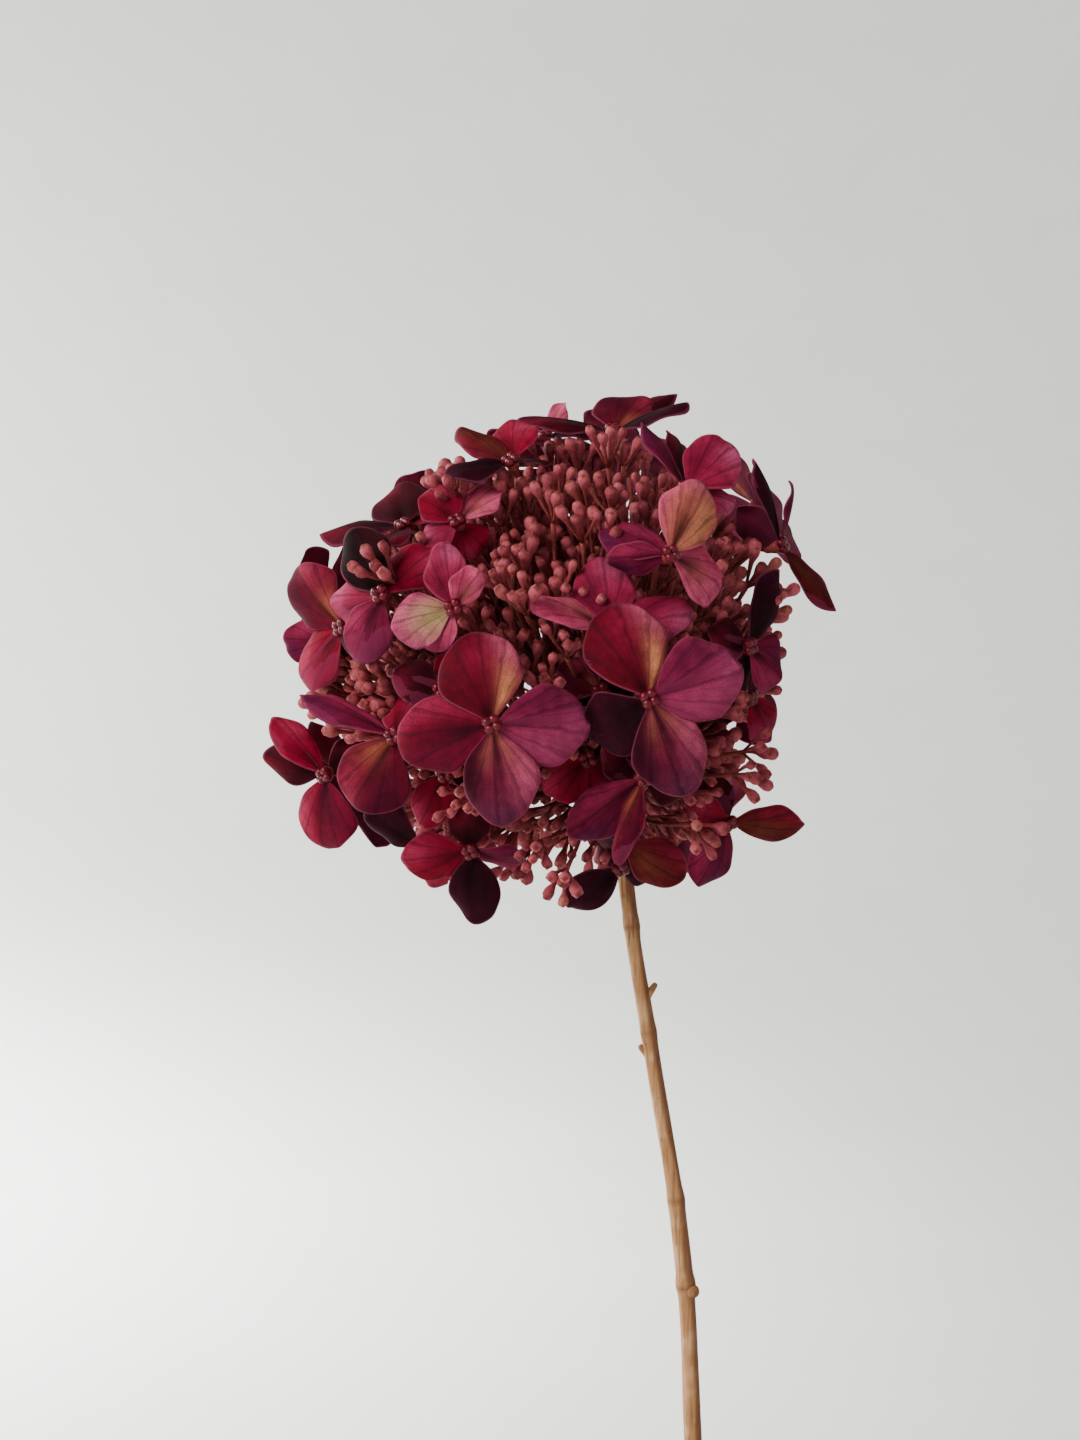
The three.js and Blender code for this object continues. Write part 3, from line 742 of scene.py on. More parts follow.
class Dye(Enum):
    """The looks that the sepals come in. The side +1 is anticlockwise round the eye."""

    UP = Recipe(
        "#520618",
        (
            Dab("#761630", -0.1, 0.75, 0.6, 0.3, 0.7),
            Dab("#A04A60", -0.9, 0.72, 0.4, 0.3, 0.95),
            Dab("#AC7052", -0.62, 0.3, 0.24, 0.25, 1.0),
            Dab("#1E0410", 0.12, 0.0, 0.5, 0.2, 0.95),
        ),
    )
    RIGHT = Recipe(
        "#7A2442",
        (
            Dab("#5A1434", 0.6, 0.55, 0.45, 0.45, 0.8),
            Dab("#983E5E", -0.55, 0.6, 0.5, 0.5, 0.9),
            Dab("#32081E", 0.05, 0.1, 0.14, 0.42, 0.95),
            Dab("#9A4468", 0.0, 1.05, 0.9, 0.3, 0.85),
        ),
    )
    DOWN = Recipe(
        "#681A34",
        (
            Dab("#2E0414", -0.8, 0.45, 0.42, 0.45, 0.95),
            Dab("#A44C66", 0.7, 0.5, 0.42, 0.4, 0.95),
            Dab("#562A42", 0.0, 1.0, 1.0, 0.28, 0.85),
            Dab("#8A4E42", -0.3, 0.17, 0.24, 0.22, 0.75),
            Dab("#8A4E42", 0.42, 0.17, 0.26, 0.22, 0.75),
            Dab("#1E0414", 0.05, 0.15, 0.12, 0.42, 0.95),
        ),
    )
    LEFT = Recipe(
        "#640822",
        (
            Dab("#8E2846", -0.75, 0.65, 0.35, 0.4, 0.7),
            Dab("#56102C", 0.6, 0.6, 0.5, 0.45, 0.7),
            Dab("#2A0214", 0.05, 0.1, 0.34, 0.5, 0.95),
        ),
    )
    WINE = Recipe(
        "#400614",
        (Dab("#1E0209", 0.0, 0.25, 0.8, 0.4, 0.85), Dab("#661228", 0.4, 0.85, 0.6, 0.3, 0.75)),
    )
    CRIMSON = Recipe(
        "#780A28",
        (Dab("#9C3450", -0.5, 0.8, 0.6, 0.3, 0.7), Dab("#3A0410", 0.1, 0.1, 0.4, 0.4, 0.9)),
    )
    MAGENTA = Recipe(
        "#84203E",
        (Dab("#5E0E2A", 0.4, 0.4, 0.5, 0.45, 0.8), Dab("#A85070", -0.6, 0.88, 0.7, 0.25, 0.8)),
    )
    MAUVE = Recipe(
        "#641230",
        (
            Dab("#4C1636", 0.5, 0.85, 0.6, 0.35, 0.8),
            Dab("#862A48", -0.55, 0.5, 0.45, 0.5, 0.8),
            Dab("#26040F", 0.0, 0.1, 0.3, 0.4, 0.9),
        ),
    )
    # This dye and the next are near-black wine: painted shade for sepals that lie in shadow.
    PAINTED_SHADE = Recipe(
        "#300414",
        (Dab("#3E0C24", 0.0, 1.0, 1.0, 0.4, 0.75), Dab("#140206", 0.0, 0.25, 0.6, 0.4, 0.85)),
    )
    SHADE = Recipe(
        "#1C0306",
        (Dab("#241408", 0.2, 0.5, 0.28, 0.28, 0.35), Dab("#3C0612", -0.7, 0.8, 0.5, 0.4, 0.7)),
    )
    ROSE = Recipe(
        "#AE4C68",
        (
            Dab("#8C2444", 0.6, 0.7, 0.5, 0.4, 0.75),
            Dab("#925244", -0.2, 0.35, 0.4, 0.3, 0.7),
            Dab("#2E0812", 0.0, 0.1, 0.3, 0.36, 0.95),
        ),
    )
    TAN = Recipe(
        "#A0584E",
        (
            Dab("#B25470", 0.0, 1.02, 1.0, 0.2, 0.95),
            Dab("#AC4866", 0.95, 0.6, 0.3, 0.5, 0.85),
            Dab("#A27450", -0.5, 0.5, 0.4, 0.4, 0.65),
            Dab("#22080F", 0.05, 0.15, 0.24, 0.46, 0.95),
        ),
    )
    CREAM = Recipe(
        "#947A5A",
        (
            Dab("#7A7444", 0.1, 0.35, 0.35, 0.25, 0.7),
            Dab("#9A3462", 0.0, 1.08, 1.3, 0.46, 1.0),
            Dab("#96325C", -1.05, 0.6, 0.55, 0.6, 0.95),
            Dab("#9C3E62", 1.05, 0.7, 0.45, 0.5, 0.9),
            Dab("#5A182A", 0.0, 0.0, 0.5, 0.15, 0.95),
        ),
    )
    PEACH = Recipe(
        "#560A20",
        (
            Dab("#8A4C38", -0.35, 0.24, 0.4, 0.22, 0.75),
            Dab("#3E0820", 0.5, 0.8, 0.5, 0.4, 0.8),
            Dab("#842C42", -0.6, 0.8, 0.4, 0.3, 0.7),
            Dab("#26060E", 0.0, 0.15, 0.12, 0.4, 0.8),
        ),
    )
    OLIVE = Recipe(
        "#541418",
        (Dab("#5A3422", -0.2, 0.4, 0.4, 0.35, 0.6), Dab("#701A2E", 0.8, 0.7, 0.45, 0.4, 0.85)),
    )


# ---- florets


@dataclass(frozen=True)
class FloretPlan:
    """A floret that the viewer sees.

    middle is from the dome's middle, and facing is a bearing from the viewer and an elevation in degrees.
    Each sepal is its tip from the floret's middle, its width, and its roll about its own length in degrees.
    """

    middle: tuple[float, float, float]
    facing: tuple[float, float]
    sepals: tuple[tuple[float, float, float, float, float], ...]
    dyes: tuple[Dye, ...]


FRONT_FLORETS = (
    FloretPlan(
        (-14.5, -76, -20),
        (-3, 0),
        ((-5.5, 6, 24, 22.5, 0), (25.5, 8, 0, 21, 0), (3.5, 6, -26.5, 20, 0), (-25.5, 9, -5, 20.5, 0)),
        (Dye.UP, Dye.RIGHT, Dye.DOWN, Dye.LEFT),
    ),
    FloretPlan(
        (25.5, -75, -13.5),
        (6, 0),
        ((-10, 8, 25, 22, 0), (24.5, 6, 9, 22, 0), (10.5, 5, -25, 20, 0), (-14.5, 16, -12, 19, 0)),
        (Dye.UP, Dye.RIGHT, Dye.DOWN, Dye.PAINTED_SHADE),
    ),
    FloretPlan(
        (31.5, -64, 24),
        (20, 20),
        ((9.5, 10, 20.5, 16.5, 0), (15, 13, -6.5, 19, 0), (-18, 10, 8, 13, 0), (-16.5, 2, -1.5, 10, -50)),
        (Dye.TAN, Dye.ROSE, Dye.MAUVE, Dye.MAUVE),
    ),
    FloretPlan(
        (16, -60, 5),
        (0, 15),
        ((-3, 8, 19.5, 17, 0), (22.5, 6, 6, 13, 0), (-2.5, 3, -13, 12, 0), (-21, -2, 8.5, 12, 35)),
        (Dye.MAGENTA, Dye.MAGENTA, Dye.WINE, Dye.ROSE),
    ),
    FloretPlan(
        (-24.5, -67, 10),
        (-12, 8),
        ((-4, 4, 17.5, 12, 0), (6, -6, 10, 9, 30), (-7.5, 2, -10, 11, 0), (-16.5, 3, -5, 14.5, 0)),
        (Dye.MAGENTA, Dye.ROSE, Dye.ROSE, Dye.CREAM),
    ),
    FloretPlan(
        (-55.5, -44, 6),
        (-40, 0),
        ((-15.5, 10, 16, 18, 0), (-12.5, 10, -15, 15, 0), (5.5, 14, 12.5, 14, 0), (5, 14, -11, 14, 0)),
        (Dye.PEACH, Dye.CRIMSON, Dye.MAGENTA, Dye.WINE),
    ),
    FloretPlan(
        (-44, -58, 14),
        (-22, 8),
        ((-9, 10, 18.5, 16, 0), (13.5, 10, 14, 15, 0), (-7, 3, -17.5, 15, 0), (-15, 14, -1, 13, 0)),
        (Dye.SHADE, Dye.CRIMSON, Dye.MAUVE, Dye.MAGENTA),
    ),
    FloretPlan(
        (-39.5, -34, 34),
        (-35, 58),
        ((-24, 6, -1, 13, 0), (-2.5, 16, 14, 18, 0), (13, 8, 6.5, 12, 0), (-4.5, -12, -6, 11, 0)),
        (Dye.WINE, Dye.WINE, Dye.CRIMSON, Dye.WINE),
    ),
    FloretPlan(
        (-10, -36, 51.5),
        (-25, 45),
        ((-18.5, -4, -3.5, 11, 0), (-16, 12, 11, 9, 0), (-0.5, 12, 13.5, 16, 0), (9, 14, 2, 12, 0)),
        (Dye.PAINTED_SHADE, Dye.OLIVE, Dye.CRIMSON, Dye.WINE),
    ),
    FloretPlan(
        (18.5, -15, 62.5),
        (10, 66),
        ((-27.5, -2, 4, 12, 0), (7, 12, 13, 20, 0), (21, -4, 8, 11, 0), (18.5, 16, 14.5, 9, 0)),
        (Dye.WINE, Dye.PEACH, Dye.PAINTED_SHADE, Dye.WINE),
    ),
    FloretPlan(
        (37, -46, 43),
        (25, 35),
        ((-11.5, 4, 19, 9, 20), (-3, 14, 18.5, 9, 30), (13, 8, 14.5, 16.5, 0), (14, 8, -2, 12, 0)),
        (Dye.MAUVE, Dye.WINE, Dye.MAGENTA, Dye.MAGENTA),
    ),
    FloretPlan(
        (66, -12, 30.5),
        (65, 15),
        ((-7.5, -6, 24.5, 10, 0), (5, 6, 19, 9, 25), (16, -2, -18, 11, 15), (-12, 6, 11.5, 14, 50)),
        (Dye.PAINTED_SHADE, Dye.MAUVE, Dye.OLIVE, Dye.WINE),
    ),
    FloretPlan(
        (54, -40, 1),
        (48, 0),
        ((10, 8, 21.5, 12, 0), (10.5, 8, -7.5, 17, 0), (-3, 6, -15.5, 12, 0), (-11, -9, 3, 12, 0)),
        (Dye.PAINTED_SHADE, Dye.MAUVE, Dye.PAINTED_SHADE, Dye.WINE),
    ),
    FloretPlan(
        (56, -22, -12.5),
        (55, -15),
        ((7.5, 6, -11.5, 13, 0), (6.5, 10, 12, 12, 0), (-12.5, -4, -5, 12, 0)),
        (Dye.CRIMSON, Dye.WINE, Dye.WINE),
    ),
    FloretPlan(
        (50.5, -20, -47.5),
        (35, -30),
        ((21, -4, -1, 13, 0), (-8, 0, -18.5, 16.5, 0), (-6, -2, 14, 11, 0), (-13, -7, 3, 12, 0)),
        (Dye.OLIVE, Dye.MAUVE, Dye.WINE, Dye.CRIMSON),
    ),
    FloretPlan(
        (20, -42, -52),
        (10, -30),
        ((17, 0, -10, 15, 0), (-8.5, 12, 0.5, 12, 0), (5, 8, 12.5, 12, 0)),
        (Dye.OLIVE, Dye.WINE, Dye.CRIMSON),
    ),
    FloretPlan(
        (25, -58, -34),
        (0, -12),
        ((-19.5, 6, -16.5, 14, 0), (-7.5, -2, -22.5, 8, 35), (-10.5, 6, 9, 13, 0), (13, 8, -4, 12, 0)),
        (Dye.MAUVE, Dye.PEACH, Dye.WINE, Dye.WINE),
    ),
    FloretPlan(
        (-40.5, -58, -23),
        (-18, -8),
        ((-10.5, 4, -20, 21.5, 0), (-25.5, 4, 11.5, 8, 50), (3, 12, 11, 11, 0), (5, 14, -8, 11, 0)),
        (Dye.PEACH, Dye.MAUVE, Dye.CRIMSON, Dye.WINE),
    ),
    FloretPlan(
        (-62, -24, -34),
        (-35, -12),
        ((-15.5, 2, 16, 10, 50), (-18.5, 6, 5, 12, 0), (-0.8, 4, -21.5, 21, 0), (12.5, 6, 8.5, 12, 0)),
        (Dye.CRIMSON, Dye.WINE, Dye.LEFT, Dye.WINE),
    ),
    FloretPlan(
        (-21, -42, -54),
        (-8, -32),
        ((-19, 2, -4, 16, 0), (2, 6, -21, 14.5, 0), (15, 4, -4, 11, 20), (-1, -5, 12, 12, 0)),
        (Dye.CRIMSON, Dye.PAINTED_SHADE, Dye.MAUVE, Dye.WINE),
    ),
    FloretPlan(
        (-35, -20, -54.5),
        (-30, -40),
        ((-17.5, 4, 11, 12, 20), (3.5, 8, -12.5, 12, 0), (10.5, 6, 8, 12, 0)),
        (Dye.PAINTED_SHADE, Dye.CRIMSON, Dye.WINE),
    ),
    FloretPlan(
        (20, -28, -59.5),
        (5, -40),
        ((-14.5, 2, -12, 14, 0), (13.5, 8, -3, 12, 0), (-5.5, 8, 11, 12, 0)),
        (Dye.PAINTED_SHADE, Dye.PAINTED_SHADE, Dye.WINE),
    ),
    FloretPlan(
        (10.5, -48, -29),
        (0, -10),
        ((-11, 2, -10.5, 14, 0), (9, 5, -9, 11, 0), (8, 8, 10, 10, 0)),
        (Dye.CRIMSON, Dye.CRIMSON, Dye.WINE),
    ),
    FloretPlan(
        (-28, -56, -11),
        (-15, 5),
        ((-13.5, 2, 4.5, 12, 0), (6, 8, 11.5, 12, 0), (2.5, 8, -11.5, 12, 0)),
        (Dye.WINE, Dye.CRIMSON, Dye.WINE),
    ),
    FloretPlan(
        (-27.5, -50, -33),
        (-12, -15),
        ((-6.5, 4, -15, 12, 0), (-3, 10, 11, 10, 0), (11, 8, 2, 12, 0)),
        (Dye.CRIMSON, Dye.CRIMSON, Dye.WINE),
    ),
    FloretPlan(
        (14, -50, -11.5),
        (0, 5),
        ((-11, 2, 7.5, 12, 0), (9, 8, 8, 12, 0), (-8, 10, -7, 10, 0)),
        (Dye.PEACH, Dye.WINE, Dye.WINE),
    ),
    FloretPlan(
        (-24.5, -42, 34.5),
        (-20, 40),
        ((-9, 6, 10, 13, 0), (9.5, 8, 11.5, 14, 0), (6, 2, -9, 12, 0), (-9.5, 0, -6, 12, 0)),
        (Dye.CRIMSON, Dye.ROSE, Dye.CRIMSON, Dye.MAGENTA),
    ),
    FloretPlan(
        (-61.5, -18, 3),
        (-70, 0),
        ((-14, 4, 0.5, 12, 0), (-5.5, 6, 15.5, 14, 0), (-4, 4, -16, 13, 0), (2, 24, -2.5, 14, 0)),
        (Dye.MAUVE, Dye.MAUVE, Dye.CRIMSON, Dye.WINE),
    ),
    FloretPlan(
        (-1, 12, 64.5),
        (-20, 70),
        ((5.5, 2, 11.5, 9, 0), (-10, 8, 5, 12, 0), (-4.5, -14, -2.5, 10, 0), (13.5, 10, 3.5, 12, 0)),
        (Dye.ROSE, Dye.WINE, Dye.WINE, Dye.WINE),
    ),
)

# The unseen side: bearing and elevation seen from the dome's middle, distance from it and spin.
BACK_FLORETS = (
    (112, 34, 82, 10),
    (126, -6, 74, 40),
    (148, 12, 84, 65),
    (146, 50, 80, 20),
    (172, -18, 80, 35),
    (184, 24, 84, 5),
    (210, -4, 81, 50),
    (214, 34, 77, 45),
    (240, -28, 80, 15),
    (244, 14, 77, 60),
    (132, -40, 78, 30),
    (180, 56, 71, 45),
)
BACK_LENGTH, BACK_WIDTH, BACK_VARIATION = 23.0, 18.5, 2.5

# How far the two kinds of sepal rise out of a back floret's plane, in degrees, turn by turn.
BACK_LIFTS = (4, -9)
BACK_DYES = (
    (Dye.UP, Dye.RIGHT, Dye.DOWN, Dye.LEFT),
    (Dye.MAGENTA, Dye.MAUVE, Dye.PEACH, Dye.CRIMSON),
    (Dye.UP, Dye.MAUVE, Dye.PAINTED_SHADE, Dye.LEFT),
)

HUB = Vector((-30.6, 0, 366.5))
KNOB_RADIUS = 5.0
DOME_MIDDLE = Vector((-47.7, 0, 405.7))
DOME_RADII = Vector((66, 64, 69))

# A power above 1 keeps the light dyes and deepens the dark ones. Each sepal takes a little more or less dye.
DYE_CONTRAST = 1.14
DYE_LIGHT, DYE_VARIATION = 0.97, 0.2

# How far apart the sepals' seeds set their noise.
SEED_SPREAD = 10

# The order of a floret's materials.
SEPAL_SKIN, BEAD_SKIN, STALK_SKIN = range(3)


@dataclass
class Sepal:
    """One sepal: a thin blade, wedge-shaped at its root and round at its tip, whose edges curve back."""

    middle: Vector
    along: Vector
    across: Vector
    face: Vector
    length: float
    width: float
    dye: Dye
    seed: float
    root: float = 0.3
    thickness: float = 0.38
    bow: float = 0.05
    cup: float = -0.06
    crease: float = 0.55
    crease_width: float = 1.5
    ripple: float = 0.042
    wave: float = 0.85
    droop: float = 0.045
    notch: float = 0.0
    notch_angle: float = 0.25
    notch_spread: float = 0.2
    cells: int = 18

    @classmethod
    def placed(cls, middle: Vector, normal: Vector, plan: Sequence[float], dye: Dye, seed: float) -> Sepal:
        """Turns a sepal's plan into its own axes.

        Args:
            middle: The floret's middle.
            normal: Which way the floret faces.
            plan: The tip from the middle, the width and the roll.
            dye: Its look.
            seed: What sets its ripples apart, from 0 to 1.

        Returns:
            The sepal.
        """
        x, y, z, width, roll = plan
        reach = Vector((x, y, z))
        along = reach.normalized()
        face = (normal - along * normal.dot(along)).normalized()
        face.rotate(Quaternion(along, math.radians(roll)))
        notch = 1.2 if dye is Dye.RIGHT else 0.5 * seed
        return cls(middle, along, face.cross(along), face, reach.length, width, dye, seed, notch=notch)

    def outline(self, share: float) -> float:
        """Its half width at a share of its length, as a share of half its width."""
        return max(math.sin(math.pi * share**1.1), 0.0) ** (1 - 0.5 * share)

    def place(self, level: float, depth: float) -> tuple[Vector, float, float, float]:
        """Where a place of the unit disc lies on the blade.

        Args:
            level: Across the disc.
            depth: Along the disc, from -1 at the root to 1 at the tip.

        Returns:
            The place, its side from -1 to 1, its share of the length and its distance from the edge.
        """
        radius = math.hypot(level, depth)
        angle = math.atan2(level, depth)
        limit = math.sqrt(max(1 - depth * depth, 1e-9))
        side = min(max(level / limit, -1.0), 1.0)
        share = (depth + 1) / 2
        wander = math.tau * self.seed
        ripples = math.sin(3 * angle + wander) + 0.6 * math.sin(7 * angle - 3 * wander)
        half = self.outline(share) * self.width / 2 * (1 + self.ripple * radius**3 * ripples)
        dent = self.notch * math.exp(-(((angle - self.notch_angle) / self.notch_spread) ** 2)) * radius**6
        run = self.root + (self.length - self.root) * share - dent
        offset = side * half
        rise = self.bow * 4 * (share - share * share) * self.length
        rise += self.cup * self.length * (side * self.outline(share)) ** 2
        fold = self.crease * math.exp(-((offset / self.crease_width) ** 2))
        rise -= fold * (1 - share) * smooth(0, 0.2, share)
        rise += self.wave * radius**4 * math.sin(4 * angle + 5 * wander) * smooth(0.2, 0.6, share)
        rise -= self.droop * self.length * radius**5 * smooth(0.3, 0.9, share)
        place = self.middle + self.along * run + self.across * offset + self.face * rise
        return place, side, share, (1 - radius) * self.width / 2

    def build(self, mesh: bmesh.types.BMesh) -> None:
        """Adds the blade to a floret.

        Args:
            mesh: The floret's mesh, which has the layers dye, edge, seed, under and flat.
        """
        dye, flat = mesh.verts.layers.float_color["dye"], mesh.loops.layers.uv["flat"]
        edge, seed, under = (mesh.verts.layers.float[name] for name in ("edge", "seed", "under"))
        grid = bmesh.ops.create_grid(mesh, x_segments=self.cells, y_segments=self.cells, size=1.0)["verts"]
        tint = DYE_LIGHT + DYE_VARIATION * self.seed
        chart = {}
        for vertex in grid:
            place, side, share, margin = self.place(*disc_place(vertex.co.x, vertex.co.y))
            vertex.co = place
            channels = self.dye.value.colour(side, share)[:3]
            vertex[dye] = (*(tint * channel**DYE_CONTRAST for channel in channels), 1.0)
            vertex[edge] = margin
            vertex[seed] = self.seed * SEED_SPREAD
            offset = place - self.middle
            chart[vertex] = (offset.dot(self.across) / MM_PER_CM, offset.dot(self.along) / MM_PER_CM)
        faces = list(dict.fromkeys(face for vertex in grid for face in vertex.link_faces))
        for face in faces:
            for loop in face.loops:
                loop[flat].uv = chart[loop.vert]
        if faces[0].normal.dot(self.face) < 0:
            bmesh.ops.reverse_faces(mesh, faces=faces)
        known = set(mesh.verts)
        bmesh.ops.solidify(mesh, geom=faces, thickness=self.thickness)
        for vertex in mesh.verts:
            if vertex not in known:
                vertex[under] = 1.0


@dataclass
class Floret:
    """An open floret: its sepals, the four beads of its eye, and the swelling under them.

    The swelling is a list of how far below the floret's middle it is and how wide, down to the stalk's end.
    """

    name: str
    middle: Vector
    normal: Vector
    sepals: list[Sepal]
    bead_radius: float = 1.42
    bead_ring: float = 1.35
    bead_rise: float = 1.0
    bead_turn: float = 0.4
    swelling: tuple[tuple[float, float], ...] = ((-0.3, 1.5), (0.6, 2.0), (1.8, 1.7), (3.2, 1.1))
    swelling_sides: int = 10
    swelling_ripe: float = 0.5
    swelling_tone: float = 0.4
    neck: float = 0.85
    length: float = 4.5

    @classmethod
    def front(cls, name: str, plan: FloretPlan, index: int) -> Floret:
        """A floret that the viewer sees.

        Args:
            name: Its name.
            plan: Its place, its sepals and their dyes.
            index: Its place in the list.

        Returns:
            The floret.
        """
        middle, normal = DOME_MIDDLE + Vector(plan.middle), facing(*plan.facing)
        sepals = [
            Sepal.placed(middle, normal, sepal, dye, chance(index, 40 + turn))
            for turn, (sepal, dye) in enumerate(zip(plan.sepals, plan.dyes))
        ]
        return cls(name, middle, normal, sepals)

    @classmethod
    def back(cls, name: str, plan: tuple[float, float, float, float], index: int) -> Floret:
        """A floret on the unseen side.

        Args:
            name: Its name.
            plan: Its bearing, elevation, distance from the dome's middle and spin.
            index: Its place in the list.

        Returns:
            The floret.
        """
        bearing, elevation, distance, spin = plan
        normal = facing(bearing, elevation)
        middle = DOME_MIDDLE + normal * distance
        upward = (UP - normal * normal.z).normalized()
        sepals = []
        for turn, dye in enumerate(BACK_DYES[index % len(BACK_DYES)]):
            length = BACK_LENGTH + (chance(index, turn) - 0.5) * 2 * BACK_VARIATION
            tip = upward.copy()
            tip.rotate(Quaternion(normal, -math.radians(spin + turn * 90)))
            tip = (tip + normal * math.tan(math.radians(BACK_LIFTS[turn % 2]))).normalized() * length
            sepals.append(Sepal.placed(middle, normal, (*tip, BACK_WIDTH, 0), dye, chance(index, 60 + turn)))
        return cls(name, middle, normal, sepals)

    def build(self, materials: Sequence[bpy.types.Material]) -> bpy.types.Object:
        """Makes the floret's piece.

        Args:
            materials: The sepals', the beads' and the stalk's.

        Returns:
            The piece.
        """
        mesh = bmesh.new()
        mesh.verts.layers.float_color.new("dye")
        for name in ("edge", "seed", "under", "ripe", "tone"):
            mesh.verts.layers.float.new(name)
        mesh.loops.layers.uv.new("flat")
        for sepal in self.sepals:
            sepal.build(mesh)
        blades = set(mesh.faces)
        spin = self.normal.orthogonal().normalized()
        for bead in range(4):
            side = spin.copy()
            side.rotate(Quaternion(self.normal, bead * math.pi / 2 + self.bead_turn))
            place = self.middle + side * self.bead_ring + self.normal * self.bead_rise
            corners = bmesh.ops.create_icosphere(mesh, subdivisions=2, radius=self.bead_radius)["verts"]
            bmesh.ops.translate(mesh, vec=place, verts=corners)
        for face in mesh.faces:
            face.material_index = SEPAL_SKIN if face in blades else BEAD_SKIN
        flower = set(mesh.faces)
        down = -self.normal
        runs, widths = zip(*self.swelling, (self.length, self.neck))
        rings = sweep(mesh, [self.middle + down * run for run in runs], widths, self.swelling_sides)
        ripe, tone = mesh.verts.layers.float["ripe"], mesh.verts.layers.float["tone"]
        for ring in rings:
            for corner in ring:
                corner[ripe], corner[tone] = self.swelling_ripe, self.swelling_tone
        for face in mesh.faces:
            if face not in flower:
                face.material_index = STALK_SKIN
        return finished(mesh, self.name, materials)


# ---- sprays

SPRAY_COUNT, SPRAY_LOWEST, SPRAY_TURN = 13, -1.0, 5.8
CLUSTER_COUNT, CLUSTER_LOWEST, CLUSTER_TURN = 370, -0.92, 0.4
STEM_CLEARANCE = 6.0

# How far below its buds a cluster forks, and how that varies.
CLUSTER_DEPTH, DEPTH_LOW, DEPTH_SPAN = 10.0, 0.85, 0.3
FORK_LEAN = 0.6

# How far the outer clusters lie below the dome's surface, where they drift to, how they turn up, their buds.
SINK_LOW, SINK_SPAN, SINK_POWER = -2, 17, 1.3
HOLLOW_SINK = 10
HOLLOWS = (Vector((-0.3, 0, 0.954)), Vector((-0.74, 0, 0.67)))
HOLLOW_EDGE = (0.78, 0.93)
DRIFT = 4
UPTURN = 0.75
FEWEST_BUDS, MORE_BUDS = 4, 3

# The clusters inside the dome, which close the gaps between the outer ones.
INNER_COUNT, INNER_SHARE, INNER_TURN = 170, 0.66, 2.1
INNER_BUDS, INNER_UPTURN = 6, 0.3

# Clusters that the viewer sees between the florets: the place, how far up they tip, and the number of buds.
LEAD_CLUSTERS = (
    ((-89, -40, 425), 30, 6),
    ((-105, -34, 396), 10, 6),
    ((-98, -45, 399), 10, 7),
    ((-91, -47, 392), 10, 7),
    ((-102, -42, 389), 10, 6),
    ((-34, -55, 347), -20, 7),
    ((-52, -58, 350), -20, 7),
    ((-99, -42, 383), 0, 6),
    ((-73, -57, 364), -10, 7),
    ((-44, -62, 343), -20, 7),
    ((-4, -52, 355), -10, 6),
    ((9, -46, 371), 0, 6),
    ((12, -38, 378), 0, 5),
    ((17, -30, 422), 20, 6),
    ((-101, -64, 416), 30, 5),
    ((-94, -62, 428), 40, 6),
)
LEAD_LEAN = 0.3

# What sets the draws of the lead and the inner clusters apart from those of the outer ones.
LEAD_INDEX, INNER_INDEX = 1000, 2000

# The cells of a sepal's coarse copy, and the steps in which a stalk looks for sepals.
TREE_CELLS = 8
PROBE_STEP = 1.5

# How ripe each kind of stalk is at its root and at its end.
RAY_RIPE, LIMB_RIPE, TWIG_RIPE, PEDICEL_RIPE = (0.0, 0.1), (0.1, 0.25), (0.25, 0.5), (0.2, 0.5)


@dataclass
class Cluster:
    """An umbel of buds.

    fork is what its stalks leave, middle the place that its buds gather round, and outward where it points.
    """

    fork: Vector
    middle: Vector
    outward: Vector
    buds: int
    index: int


